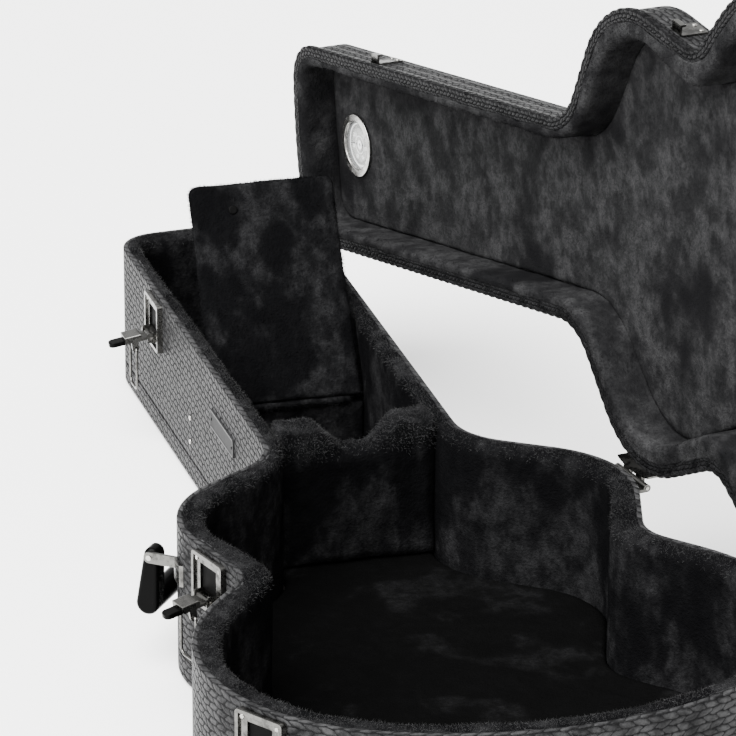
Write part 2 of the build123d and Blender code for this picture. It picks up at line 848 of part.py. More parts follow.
handle_pins = []
for side in (-1, 1):
    inner = side * (arm_inner + pin_in)
    outer = side * (handle_half + strap_gap + strap_thick + pin_proud)
    pin = rod_x(handle_pin_radius, (min(inner, outer), max(inner, outer)), handle_off, handle_up)
    handle_pins.append(handle_frame * pin)
parts["handle_grip"] = handle_frame * handle_grip()
parts["handle_straps"] = group([handle_strap(-1), handle_strap(1)])
parts["handle_pins"] = group(handle_pins)

# Lid shell, modelled shut and then swung open
lid_low = base_height + rim_gap
lid_top = base_height + lid_height
lid_outer = slab(shell, lid_top - lid_wrap, lid_top)
lid_outer = round_rim(lid_outer, lid_top, cover_round)
lid_core = slab(wall_inset, lid_low, lid_top - cover_thick)
lid_core = round_rim(lid_core, lid_top - cover_thick, cover_round - cover_thick)
panel_low = lid_top - cover_thick - ply_thick
lid_panel = lid_core - slab(wall_inset.inset(-1), lid_low, panel_low)
parts["lid_top_cover"] = open_lid(lid_outer - lid_core)
parts["lid_panel"] = open_lid(lid_panel)
parts["lid_wall"] = open_lid(ring(wall_inset, wall_inner, lid_low + cover_thick, panel_low))
lid_skin = ring(shell, wall_inset, lid_low + binding_deep, lid_top - lid_wrap - seam_gap)
parts["lid_wall_cover"] = open_lid(lid_skin)

# Binding round the lid's rim: it stands proud of the wall and turns under the rim
binding = ring(shell.inset(-binding_proud), wall_inset, lid_low, lid_low + binding_deep)
binding = round_rim(binding, lid_low + binding_deep, binding_round)
binding += ring(wall_inset, shell.inset(binding_wide), lid_low, lid_low + cover_thick)

# Plush lining of the lid
lid_lining_low = lid_low + cover_thick
ceiling_low = panel_low - lid_pad
lid_lining = ring(wall_inner, inside, lid_lining_low, panel_low)
lid_lip = ring(shell.inset(binding_wide + soft_gap), inside, lid_low, lid_lining_low)
lid_lining += lid_lip
lid_lining = round_mouth(lid_lining.faces().sort_by(Axis.Z)[0], pad_round)
parts["lid_side_padding"] = open_lid(lid_lining)
ceiling = slab(inside.inset(soft_gap), ceiling_low, panel_low)
gauge_y = from_tail(case_length - gauge_in)
gauge_well = Pos(0, gauge_y, panel_low) * Cylinder(gauge_radius + soft_gap, 4 * gauge_depth)
parts["lid_ceiling_padding"] = open_lid(ceiling - gauge_well)

# Hygrometer: cup, dial, needle on its spindle, lens and bezel, facing down in the shut lid
face_low = panel_low - gauge_depth


def disc(radius, low, high):
    """A disc about the gauge's middle between two heights."""
    return Pos(0, gauge_y, (low + high) / 2) * Cylinder(radius, high - low)


cup_inner = gauge_radius - gauge_wall
cup = disc(gauge_radius, face_low, panel_low) - disc(cup_inner, face_low, panel_low - gauge_wall)
dial_low = panel_low - gauge_wall - dial_thick
spindle_low = dial_low - needle_lift - 2 * needle_thick
needle_high = dial_low - needle_lift + needle_thick
dial = disc(cup_inner, dial_low, panel_low - gauge_wall) + disc(spindle_radius, spindle_low, dial_low)
needle = box(
    (-needle_wide / 2, needle_wide / 2),
    (gauge_y - needle_tail, gauge_y + needle_long),
    (dial_low - needle_lift, needle_high),
)
needle += disc(hub_radius, dial_low - needle_lift, needle_high)
needle -= disc(spindle_radius + pin_running, dial_low - 2 * needle_lift, needle_high)
lens = disc(cup_inner, face_low, face_low + lens_thick)
bezel = disc(gauge_radius + bezel_wide, face_low - bezel_high, face_low)
bezel -= disc(cup_inner - bezel_lip, face_low - bezel_high, face_low)
bezel = round_rim(bezel, face_low - bezel_high, bezel_round)
parts["gauge_cup"] = open_lid(cup)
parts["gauge_dial"] = open_lid(dial)
parts["gauge_needle"] = open_lid(needle)
parts["gauge_lens"] = open_lid(lens)
parts["gauge_bezel"] = open_lid(bezel)

# Lid hinges, one at each bout
base_leaves = []
lid_leaves = []
hinge_pins = []
hinge_rivets = []
lid_hinge_rivets = []
hinge_length = knuckle_count * knuckle_length
axis_way = (axis_high - axis_low).normalized()
near_wall = ring(shell.inset(-leaf_thick), shell, axis_z - leaf_down, axis_z - leaf_clear)
lid_plate = ring(shell.inset(-leaf_off - leaf_thick), shell.inset(-leaf_off), axis_z, lid_low + leaf_up)
lid_plate += ring(shell.inset(-leaf_off), shell, lid_low + leaf_rim_gap, lid_low + leaf_up)
binding_cut = []

for touch, gap in ((lower_touch, axis_gap_lower), (upper_touch, axis_gap_upper)):
    frame = Plane(
        origin=(touch[0] + out_x * gap, touch[1] + out_y * gap, axis_z),
        x_dir=(-axis_way.X, -axis_way.Y, 0), z_dir=(0, 0, 1),
    ).location
    half = hinge_length / 2
    window = frame * box((-half, half), (-4 * gap, 4 * gap), (-leaf_down, leaf_up + axis_drop + rim_gap))
    base_leaf = near_wall & window
    lid_leaf = lid_plate & window
    for index in range(knuckle_count):
        start = -half + index * knuckle_length
        own = (start + knuckle_gap / 2, start + knuckle_length - knuckle_gap / 2)
        clear = (start - knuckle_gap / 2, start + knuckle_length + knuckle_gap / 2)
        barrel = rod_x(knuckle_radius, own, 0, 0)
        room = frame * rod_x(knuckle_radius + leaf_clear, clear, 0, 0)
        if index % 2 == 0:
            web = box(own, (-2 * gap, 0), (-knuckle_radius, -leaf_clear))
            base_leaf += frame * (barrel + web) - shell_block
            lid_leaf -= room
            bore = hinge_pin_radius
            base_leaf -= frame * rod_x(bore, own, 0, 0)
        else:
            web = box(own, (-gap + leaf_off, 0), (0, knuckle_radius))
            base_leaf -= room
            base_leaf -= frame * box(clear, (-2 * gap, 4 * gap), (-leaf_clear, knuckle_radius))
            wall_room = slab(shell.inset(-leaf_off), 0, lid_low)
            lid_leaf += frame * (barrel + web) - wall_room
            bore = hinge_pin_radius + pin_running
            lid_leaf -= frame * rod_x(bore, own, 0, 0)
    base_leaves.append(base_leaf)
    lid_leaves.append(open_lid(lid_leaf))
    pin_half = half + hinge_pin_end
    hinge_pins.append(frame * rod_x(hinge_pin_radius, (-pin_half, pin_half), 0, 0))
    binding_cut.append(window)
    for side in (-1, 1):
        spot = wall_frame(touch[1] + side * hinge_rivet_along, 1)
        low_span = (leaf_thick, leaf_thick + rivet_height)
        high_span = (leaf_off + leaf_thick, leaf_off + leaf_thick + rivet_height)
        hinge_rivets.append(spot * dome(rivet_radius, rivet_height, 0, low_span, axis_z - hinge_rivet_down))
        head = dome(rivet_radius, rivet_height, 0, high_span, lid_low + hinge_rivet_up)
        lid_hinge_rivets.append(open_lid(spot * head))
parts["hinge_base_leaves"] = group(base_leaves)
parts["hinge_lid_leaves"] = group(lid_leaves)
parts["hinge_pins"] = group(hinge_pins)
parts["hinge_rivets"] = group(hinge_rivets)
parts["lid_hinge_rivets"] = group(lid_hinge_rivets)
for window in binding_cut:
    binding -= window - slab(shell, 0, lid_top)
parts["lid_binding"] = open_lid(binding)

for name, part in parts.items():
    export_step(part, "parts/" + name + ".step")
    print(name, len(part.solids()), round(sum(solid.volume for solid in part.solids()), 1))
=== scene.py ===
# %% [markdown]
# # A guitar case in vinyl, plush and nickel
# This file dresses a finished set of solid parts so that they look like the real case: a plywood shell
# covered in embossed vinyl, lined with black plush, and fitted with nickel latches. Each cell makes one
# thing. The text before it says what that thing is on the real case and why it is made the way it is.

# %% Load the frame
import json
from math import cos, exp, pi, radians, sin

import bmesh
import bpy
import numpy as np
from mathutils import Matrix, Vector, noise


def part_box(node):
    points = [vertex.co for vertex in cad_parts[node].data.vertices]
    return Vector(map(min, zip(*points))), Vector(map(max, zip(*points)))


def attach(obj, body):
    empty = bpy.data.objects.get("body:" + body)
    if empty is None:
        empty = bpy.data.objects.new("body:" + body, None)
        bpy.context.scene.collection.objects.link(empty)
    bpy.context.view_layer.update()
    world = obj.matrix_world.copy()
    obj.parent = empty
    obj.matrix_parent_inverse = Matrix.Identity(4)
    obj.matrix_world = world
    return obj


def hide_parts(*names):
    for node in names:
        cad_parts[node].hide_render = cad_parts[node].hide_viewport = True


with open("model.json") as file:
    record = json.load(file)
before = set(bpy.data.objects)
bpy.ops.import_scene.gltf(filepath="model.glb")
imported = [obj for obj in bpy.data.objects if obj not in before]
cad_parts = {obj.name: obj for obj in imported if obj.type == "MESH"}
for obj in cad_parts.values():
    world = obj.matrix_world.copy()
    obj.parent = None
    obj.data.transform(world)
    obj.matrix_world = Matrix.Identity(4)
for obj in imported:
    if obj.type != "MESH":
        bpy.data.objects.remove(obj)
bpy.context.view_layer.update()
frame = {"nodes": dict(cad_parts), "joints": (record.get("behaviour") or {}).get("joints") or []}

MM = 0.001
scene = bpy.context.scene
nodes = frame["nodes"]
joints = {joint["name"]: joint for joint in frame["joints"]}

# %% [markdown]
# ## The camera
# The camera comes first, because every later choice is judged through it. It stands four metres from
# the middle of the case with a long lens, looks down by 22 degrees and turns 16 degrees to the right
# of the case's length. Its place and turn were fitted to the corners of the shell.

# %% Place the camera
camera_spot = Vector((-0.99507, -3.48932, 1.66295))
camera_yaw = 0.2773843
camera_pitch = 0.3833474
camera_roll = 0.0044075
camera_lens = 238.36


def make_camera():
    """A camera from its place, its three angles and its lens."""
    level = cos(camera_pitch)
    ahead = Vector((sin(camera_yaw) * level, cos(camera_yaw) * level, -sin(camera_pitch)))
    right = Vector((cos(camera_yaw), -sin(camera_yaw), 0.0))
    up = right.cross(ahead)
    right_turned = right * cos(camera_roll) + up * sin(camera_roll)
    up_turned = up * cos(camera_roll) - right * sin(camera_roll)
    data = bpy.data.cameras.new("camera")
    data.lens = camera_lens
    data.sensor_width = 36.0
    data.clip_start = 0.05
    data.clip_end = 100.0
    camera = bpy.data.objects.new("camera", data)
    scene.collection.objects.link(camera)
    turn = Matrix((right_turned, up_turned, -ahead)).transposed()
    camera.matrix_world = Matrix.Translation(camera_spot) @ turn.to_4x4()
    scene.camera = camera
    return camera


camera = make_camera()
print("camera:", camera.location[:], "lens", camera_lens)

# %% [markdown]
# ## Outlines taken from the frame
# The vinyl and the plush follow the guitar-shaped wall all the way round. The wall's two outlines, the
# outside of the vinyl and the inside of the plush, are read from the frame by cutting a solid with a
# level plane. The cut is then walked round and divided into even steps, so that a position on the wall
# is just a distance along it. Even steps also give the embossing and the pile an even scale.

# %% Cut a solid at one height and walk round the cut
step = 4.0 * MM
weld = 0.02 * MM


def cut_loops(node, height):
    """Closed loops of points where a level plane cuts a node, the longest first."""
    work = bmesh.new()
    work.from_mesh(nodes[node].data)
    bmesh.ops.remove_doubles(work, verts=work.verts, dist=weld)
    every = work.verts[:] + work.edges[:] + work.faces[:]
    cut = bmesh.ops.bisect_plane(work, geom=every, plane_co=(0, 0, height), plane_no=(0, 0, 1))["geom_cut"]
    near = {}
    for edge in cut:
        if isinstance(edge, bmesh.types.BMEdge):
            one, two = edge.verts
            near.setdefault(one, []).append(two)
            near.setdefault(two, []).append(one)
    loops = []
    unused = set(near)
    while unused:
        start = min(unused, key=lambda vert: (vert.co.y, vert.co.x))
        loop = [start]
        unused.discard(start)
        while True:
            ahead = [vert for vert in near[loop[-1]] if vert in unused]
            if not ahead:
                break
            loop.append(ahead[0])
            unused.discard(ahead[0])
        loops.append(np.array([vert.co[:2] for vert in loop]))
    work.free()
    return sorted(loops, key=lambda loop: -len_round(loop))


def len_round(points):
    """Length of a closed loop."""
    return float(np.linalg.norm(np.roll(points, -1, axis=0) - points, axis=1).sum())


class Outline:
    """Even points round a closed loop, from the middle of the tail end towards the hinge side."""

    def __init__(self, loop, spacing=step):
        area = 0.5 * np.sum(loop[:, 0] * np.roll(loop[:, 1], -1) - np.roll(loop[:, 0], -1) * loop[:, 1])
        loop = loop if area > 0 else loop[::-1]
        tail = int(np.argmin(np.hypot(loop[:, 0], loop[:, 1] - loop[:, 1].min())))
        loop = np.roll(loop, -tail, axis=0)
        ends = np.vstack([loop, loop[:1]])
        run = np.concatenate([[0], np.cumsum(np.linalg.norm(np.diff(ends, axis=0), axis=1))])
        self.length = run[-1]
        self.count = int(round(self.length / spacing))
        self.run = np.arange(self.count) * self.length / self.count
        self.points = np.stack([np.interp(self.run, run, ends[:, k]) for k in (0, 1)], axis=1)
        for _ in range(2):
            before, after = np.roll(self.points, 1, axis=0), np.roll(self.points, -1, axis=0)
            self.points = (before + 2 * self.points + after) / 4
        along = np.roll(self.points, -1, axis=0) - np.roll(self.points, 1, axis=0)
        along /= np.linalg.norm(along, axis=1)[:, None]
        self.along = along
        self.out = np.stack([along[:, 1], -along[:, 0]], axis=1)

    def half_width(self, y):
        """Half the width of the outline at each Y."""
        middle = int(np.argmax(self.points[:, 1]))
        side = self.points[: middle + 1]
        return np.interp(y, side[:, 1], side[:, 0], left=0.0, right=0.0)


wall_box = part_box("side_wall")
wall_middle = (wall_box[0].z + wall_box[1].z) / 2
shell = Outline(cut_loops("wall_cover", wall_middle)[0])
inside = Outline(cut_loops("side_padding", wall_middle)[-1])
print("outlines: shell", round(shell.length, 3), "m, plush", round(inside.length, 3), "m")

# %% [markdown]
# ## The open lid
# The lid is stored open, so anything made for it is modelled as if the lid were shut, in the same
# coordinates as the base, and then turned about the hinge axis to where the lid stands.

# %% Turn pieces with the lid and the flap
lid_joint = joints["lid_hinge"]
lid_angle = -radians(lid_joint["range_deg"][0])
lid_point = Vector(lid_joint["pos_m"])


def turn_about(point, angle, axis):
    """The matrix that turns things about an axis through a point."""
    return Matrix.Translation(point) @ Matrix.Rotation(angle, 4, Vector(axis)) @ Matrix.Translation(-point)


def undone(turn, spots):
    """Points as they lie before a turn."""
    back = turn.inverted()
    return np.array([(back @ Vector(spot))[:] for spot in spots])


lid_turn = turn_about(lid_point, lid_angle, lid_joint["axis"])


def box_when_shut(node):
    """Lowest and highest corner of a lid node as it would be with the lid shut."""
    points = undone(lid_turn, [vert.co for vert in nodes[node].data.vertices])
    return Vector(points.min(axis=0)), Vector(points.max(axis=0))


lid_cover_box = box_when_shut("lid_top_cover")
lid_lining_box = box_when_shut("lid_side_padding")
lid_ceiling_box = box_when_shut("lid_ceiling_padding")
binding_box = box_when_shut("lid_binding")
print("shut lid: rim", round(lid_lining_box[0].z, 4), "top", round(lid_cover_box[1].z, 4))

# %% [markdown]
# ## Building meshes from rows of points
# Most pieces of this case are bands that run round the wall: the vinyl, the plush roll, the binding.
# Such a band is a grid of points, one row for each step along the wall, and each row is the band's
# cross-section. Closing the grid both ways gives a solid skin with no open edge, and the UV map is
# simply metres along the wall and metres round the section, so a pattern keeps its true size.

# %% Make a band and a smooth object
def new_object(name, mesh):
    """Put a mesh into the scene as a smooth object at the origin."""
    mesh.shade_smooth()
    made = bpy.data.objects.new(name, mesh)
    scene.collection.objects.link(made)
    return made


def grid_faces(rows, columns, close_rows, close_columns, flip=False):
    """Quads between the points of a grid, as an array of point numbers."""
    i = np.arange(rows if close_rows else rows - 1)
    j = np.arange(columns if close_columns else columns - 1)
    i, j = (part.ravel() for part in np.meshgrid(i, j, indexing="ij"))
    i2, j2 = (i + 1) % rows, (j + 1) % columns
    quads = np.stack([i * columns + j, i2 * columns + j, i2 * columns + j2, i * columns + j2], axis=1)
    return quads[:, ::-1] if flip else quads


def band(name, grid, run, length):
    """A closed band. grid[i, j] is point j of the section at step i along the wall."""
    count, width = grid.shape[:2]
    faces = grid_faces(count, width, True, True)
    mesh = bpy.data.meshes.new(name)
    mesh.from_pydata(grid.reshape(-1, 3).tolist(), [], faces.tolist())
    section = grid[0]
    hops = np.linalg.norm(np.roll(section, -1, axis=0) - section, axis=1)
    across = np.concatenate([[0], np.cumsum(hops)])
    along = np.concatenate([run, [length]])
    i = np.repeat(np.arange(count), width)
    j = np.tile(np.arange(width), count)
    corners_u = np.stack([along[i], along[i + 1], along[i + 1], along[i]], axis=1)
    corners_v = np.stack([across[j], across[j], across[j + 1], across[j + 1]], axis=1)
    uv = mesh.uv_layers.new(name="metres")
    uv.data.foreach_set("uv", np.stack([corners_u, corners_v], axis=2).ravel())
    return new_object(name, mesh)


def follow(outline, section):
    """Points of a band: section is a list of (distance outwards, height)."""
    section = np.array(section)
    spread = outline.points[:, None, :] + outline.out[:, None, :] * section[None, :, :1]
    height = np.broadcast_to(section[None, :, 1:], spread.shape[:2] + (1,))
    return np.concatenate([spread, height], axis=2)


def quarter(centre, radius, start, end, count):
    """Points on an arc, angles in degrees from straight outwards, anticlockwise."""
    angles = np.radians(np.linspace(start, end, count))
    return [(centre[0] + radius * cos(a), centre[1] + radius * sin(a)) for a in angles]


def line(start, end, count):
    """Even points from start to end, both included."""
    start, end = np.array(start), np.array(end)
    return [tuple(start + (end - start) * t) for t in np.linspace(0, 1, count)]


def read_rows(items, field):
    """A vector that each of a mesh's items has, as rows of three numbers."""
    values = np.zeros(len(items) * 3, np.float32)
    items.foreach_get(field, values)
    return values.reshape(-1, 3)


def ruffle(piece, layers, limit=None):
    """Push every point along its normal by layers of noise: (size, height, stretch, seed)."""
    mesh = piece.data
    normals = read_rows(mesh.vertex_normals, "vector")
    for index, vert in enumerate(mesh.vertices):
        push = 0.0
        for size, height, stretch, seed in layers:
            spot = Vector((vert.co.x / stretch[0], vert.co.y / stretch[1], vert.co.z / stretch[2])) / size
            push += height * noise.noise(spot + Vector((seed, 2.3 * seed, -1.7 * seed)))
        if limit is not None:
            push = max(-limit, min(limit, push))
        vert.co += Vector(normals[index]) * push
    mesh.update()
    return piece


def counted(piece):
    """Print a piece's name and size, and hand it on."""
    print("made", piece.name, len(piece.data.polygons), "faces")
    return piece


# %% [markdown]
# ## Shared finishes
# Three effects turn up in several materials, so each is a node group with its own inputs. The first
# lays the vinyl's embossing: rows of small slanted tiles, every second row shifted by half a tile and
# slanted the other way. The second breaks up an even colour with cloudy patches. The third scatters
# fine scratches and dull spots over metal; the metal's colour is darkened on the spots, partly as tarnish
# and partly as painted dark reflection.

# %% Node helpers
def new_group(name, inputs, outputs):
    """An empty shader node group with float, colour or vector sockets."""
    kinds = {"value": "NodeSocketFloat", "colour": "NodeSocketColor", "vector": "NodeSocketVector"}
    group = bpy.data.node_groups.new(name, "ShaderNodeTree")
    for label, kind, default in inputs:
        socket = group.interface.new_socket(label, in_out="INPUT", socket_type=kinds[kind])
        if default is not None:
            socket.default_value = default
    for label, kind in outputs:
        group.interface.new_socket(label, in_out="OUTPUT", socket_type=kinds[kind])
    return group, group.nodes.new("NodeGroupInput"), group.nodes.new("NodeGroupOutput")


class Wiring:
    """Short words for adding and joining nodes in one tree."""

    def __init__(self, tree):
        self.tree = tree

    def add(self, kind, values=None, **settings):
        """A node with its settings and the values of its inputs, by name or number."""
        node = self.tree.nodes.new(kind)
        for key, value in settings.items():
            setattr(node, key, value)
        for key, value in (values or {}).items():
            if isinstance(value, bpy.types.NodeSocket):
                self.tree.links.new(value, node.inputs[key])
            else:
                node.inputs[key].default_value = value
        return node

    def math(self, operation, *values):
        """The result of a Math node."""
        node = self.add("ShaderNodeMath", dict(enumerate(values)), operation=operation)
        return node.outputs[0]

    def span(self, value, low, high, to_low=0.0, to_high=1.0):
        """A value carried smoothly from one range to another."""
        values = {"Value": value, "From Min": low, "From Max": high, "To Min": to_low, "To Max": to_high}
        return self.add("ShaderNodeMapRange", values, interpolation_type="SMOOTHSTEP").outputs["Result"]

    def blend(self, share, one, two):
        """A colour between two colours."""
        node = self.add("ShaderNodeMix", {0: share, 6: one, 7: two}, data_type="RGBA")
        return node.outputs[2]

    def noise(self, vector, scale, detail=2.0, roughness=0.5):
        """The value of a noise texture."""
        values = {"Vector": vector, "Scale": scale, "Detail": detail, "Roughness": roughness}
        return self.add("ShaderNodeTexNoise", values).outputs["Fac"]

    def bump(self, height, strength, distance):
        """A normal from a height."""
        values = {"Height": height, "Strength": strength, "Distance": distance}
        return self.add("ShaderNodeBump", values).outputs["Normal"]


# %% The embossed tiles
def make_tiles_group():
    """Height of the embossing, and a mask of the grooves between the tiles, from a UV map in metres."""
    group, inputs, outputs = new_group(
        "embossed_tiles",
        [
            ("Vector", "vector", None), ("Length", "value", 0.006), ("Row", "value", 0.004),
            ("Slant", "value", 0.5),
        ],
        [("Height", "value"), ("Groove", "value")],
    )
    w = Wiring(group)
    place = w.add("ShaderNodeSeparateXYZ", {0: inputs.outputs["Vector"]})
    rows = w.math("DIVIDE", place.outputs["Y"], inputs.outputs["Row"])
    row = w.math("FLOOR", rows)
    across = w.math("SUBTRACT", w.math("SUBTRACT", rows, row), 0.5)
    odd = w.math("MODULO", w.math("ABSOLUTE", row), 2.0)
    lean = w.math("MULTIPLY", w.math("MULTIPLY_ADD", odd, -2.0, 1.0), inputs.outputs["Slant"])
    along = w.math("DIVIDE", place.outputs["X"], inputs.outputs["Length"])
    along = w.math("ADD", along, w.math("MULTIPLY", odd, 0.5))
    along = w.math("ADD", along, w.math("MULTIPLY", across, lean))
    along = w.math("SUBTRACT", w.math("FRACT", along), 0.5)
    wide = w.math("POWER", w.math("ABSOLUTE", w.math("MULTIPLY", along, 2.0)), 3.0)
    high = w.math("POWER", w.math("ABSOLUTE", w.math("MULTIPLY", across, 2.0)), 3.0)
    reach = w.math("POWER", w.math("ADD", wide, high), 1.0 / 3.0)
    height = w.span(reach, 1.04, 0.5)
    group.links.new(height, outputs.inputs["Height"])
    group.links.new(w.span(reach, 0.84, 1.0), outputs.inputs["Groove"])
    return group


tiles_group = make_tiles_group()


# %% Cloudy patches and metal wear
def make_patches_group():
    """A soft-edged mask of brushed patches, with its own size, amount and softness of edge."""
    group, inputs, outputs = new_group(
        "cloudy_patches",
        [
            ("Vector", "vector", None), ("Scale", "value", 12.0), ("Amount", "value", 0.5),
            ("Edge", "value", 0.08),
        ],
        [("Mask", "value")],
    )
    w = Wiring(group)
    big = w.noise(inputs.outputs["Vector"], inputs.outputs["Scale"], 3.0, 0.55)
    low = w.math("SUBTRACT", w.math("SUBTRACT", 1.0, inputs.outputs["Amount"]), inputs.outputs["Edge"])
    high = w.math("ADD", w.math("SUBTRACT", 1.0, inputs.outputs["Amount"]), inputs.outputs["Edge"])
    group.links.new(w.span(big, low, high), outputs.inputs["Mask"])
    return group


def make_wear_group():
    """Dull spots and fine scratches of handled metal: a mask that adds roughness and darkens the colour,
    partly as tarnish and partly as painted dark reflection, and a height.
    """
    group, inputs, outputs = new_group(
        "handled_metal",
        [("Vector", "vector", None), ("Spots", "value", 90.0), ("Scratches", "value", 700.0)],
        [("Dullness And Reflection", "value"), ("Height", "value")],
    )
    w = Wiring(group)
    spots = w.noise(inputs.outputs["Vector"], inputs.outputs["Spots"], 4.0, 0.65)
    stretch = w.add("ShaderNodeMapping", {"Vector": inputs.outputs["Vector"], "Scale": (1.0, 0.08, 1.0)})
    lines = w.noise(stretch.outputs[0], inputs.outputs["Scratches"], 2.0, 0.6)
    group.links.new(w.span(spots, 0.42, 0.68), outputs.inputs["Dullness And Reflection"])
    height = w.math("MULTIPLY_ADD", lines, 0.4, w.math("MULTIPLY", spots, 0.6))
    group.links.new(height, outputs.inputs["Height"])
    return group


patches_group = make_patches_group()
wear_group = make_wear_group()
print("groups:", tiles_group.name, patches_group.name, wear_group.name)

# %% [markdown]
# ## The materials
# The vinyl is black with a faint grey bloom on its tile tops, where the light catches it, and its grooves
# are painted near black as painted shade. The plush is almost black, but its pile shines where it has been
# stroked one way, which shows as soft grey patches. The fittings are nickel that has gone a little dull;
# their dull spots are painted darker, partly as tarnish and partly as painted dark reflection. The lamps
# further down are strong, so the colours here are much darker than the real ones, to give the tones of
# the photograph.

# %% A material and its main shader
def new_material(name, roughness, **constants):
    """A material with a Principled shader, and the constant values of its sockets."""
    material = bpy.data.materials.new(name)
    material.use_nodes = True
    shader = material.node_tree.nodes["Principled BSDF"]
    shader.inputs["Roughness"].default_value = roughness
    for key, value in constants.items():
        shader.inputs[key.replace("_", " ")].default_value = value
    return material, shader, Wiring(material.node_tree)


def object_place(w):
    """Object coordinates."""
    return w.add("ShaderNodeTexCoord").outputs["Object"]


def make_vinyl(name, tile_length, tile_row, slant, dark, light, depth):
    """Embossed vinyl on a UV map in metres."""
    material, shader, w = new_material(name, 0.42, Specular_IOR_Level=0.15, IOR=1.15)
    place = w.add("ShaderNodeUVMap", uv_map="metres").outputs["UV"]
    waver = w.add("ShaderNodeTexNoise", {"Vector": place, "Scale": 130.0, "Detail": 2.0}).outputs["Color"]
    waver = w.add("ShaderNodeVectorMath", {0: waver, 1: (0.5, 0.5, 0.5)}, operation="SUBTRACT").outputs[0]
    waver = w.add("ShaderNodeVectorMath", {0: waver, "Scale": 0.0028}, operation="SCALE").outputs[0]
    place = w.add("ShaderNodeVectorMath", {0: place, 1: waver}, operation="ADD").outputs[0]
    tiles = w.add("ShaderNodeGroup", node_tree=tiles_group)
    material.node_tree.links.new(place, tiles.inputs["Vector"])
    tiles.inputs["Length"].default_value = tile_length
    tiles.inputs["Row"].default_value = tile_row
    tiles.inputs["Slant"].default_value = slant
    spot = object_place(w)
    cloud = w.noise(spot, 70.0, 5.0, 0.7)
    grain = w.noise(spot, 420.0, 3.0, 0.7)
    top = w.blend(w.span(cloud, 0.3, 0.7), dark, light)
    groove = w.math("MULTIPLY", tiles.outputs["Groove"], w.span(grain, 0.2, 0.6, 0.45, 1.0))
    # The grooves between the tiles are painted near black, mottled by a fine grain: painted shade in the
    # grooves.
    colour = w.blend(groove, top, (0.004, 0.004, 0.0042, 1.0))
    links = material.node_tree.links
    links.new(colour, shader.inputs["Base Color"])
    rough = w.math("MULTIPLY_ADD", cloud, 0.2, 0.26)
    links.new(w.math("ADD", rough, w.math("MULTIPLY", groove, 0.3)), shader.inputs["Roughness"])
    height = w.math("MULTIPLY_ADD", grain, 0.35, tiles.outputs["Height"])
    links.new(w.bump(height, 1.0, depth), shader.inputs["Normal"])
    return material


def make_plush(name, stretch, scale, amount, dark, light):
    """Plush: dark pile with lighter stroked patches."""
    material, shader, w = new_material(name, 0.95, Specular_IOR_Level=0.1, IOR=1.12)
    spot = w.add("ShaderNodeMapping", {"Vector": object_place(w), "Scale": stretch}).outputs[0]
    patches = w.add("ShaderNodeGroup", node_tree=patches_group)
    links = material.node_tree.links
    links.new(spot, patches.inputs["Vector"])
    patches.inputs["Scale"].default_value = scale
    patches.inputs["Amount"].default_value = amount
    pile = w.noise(object_place(w), 420.0, 3.0, 0.7)
    tufts = w.noise(object_place(w), 95.0, 3.0, 0.6)
    strokes = w.noise(spot, 3.3 * scale, 3.0, 0.6)
    stroked = w.span(patches.outputs["Mask"], 0.0, 1.0, 0.12, 1.0)
    share = w.math("MULTIPLY", stroked, w.span(strokes, 0.36, 0.62, 0.3, 1.0))
    share = w.math("MULTIPLY", share, w.span(tufts, 0.25, 0.7, 0.35, 1.0))
    share = w.math("MULTIPLY", share, w.span(pile, 0.25, 0.7, 0.4, 1.0))
    links.new(w.blend(share, dark, light), shader.inputs["Base Color"])
    height = w.math("MULTIPLY_ADD", tufts, 0.6, w.math("MULTIPLY", pile, 0.5))
    links.new(w.bump(height, 1.0, 2.2 * MM), shader.inputs["Normal"])
    return material


def make_metal(name, colour, roughness, dull, depth=0.05 * MM):
    """Plated or turned metal with dull spots and scratches; the spots are painted darker, partly as tarnish
    and partly as painted dark reflection.
    """
    material, shader, w = new_material(name, roughness, Metallic=1.0)
    wear = w.add("ShaderNodeGroup", node_tree=wear_group)
    links = material.node_tree.links
    links.new(object_place(w), wear.inputs["Vector"])
    # Darker colour on the dull spots: partly tarnish, partly painted dark reflection.
    tarnish_and_reflection = tuple(0.25 * part for part in colour[:3]) + (1.0,)
    tarnish_and_reflection_share = w.math("MULTIPLY", wear.outputs["Dullness And Reflection"], 0.8)
    links.new(w.blend(tarnish_and_reflection_share, colour, tarnish_and_reflection), shader.inputs["Base Color"])
    links.new(w.math("MULTIPLY_ADD", wear.outputs["Dullness And Reflection"], dull, roughness), shader.inputs["Roughness"])
    links.new(w.bump(wear.outputs["Height"], 0.5, depth), shader.inputs["Normal"])
    return material


def make_painted(name, colour, roughness, speckle, shine=0.5):
    """Paint or moulded plastic: one colour with a fine surface."""
    material, shader, w = new_material(name, roughness, Specular_IOR_Level=shine)
    spot = object_place(w)
    fine = w.noise(spot, 1400.0, 2.0, 0.6)
    cloud = w.noise(spot, 60.0, 3.0, 0.6)
    paler = tuple(part + speckle for part in colour[:3]) + (1.0,)
    links = material.node_tree.links
    links.new(w.blend(cloud, colour, paler), shader.inputs["Base Color"])
    links.new(w.math("MULTIPLY_ADD", cloud, 0.2, roughness), shader.inputs["Roughness"])
    links.new(w.bump(fine, 0.35, 0.08 * MM), shader.inputs["Normal"])
    return material


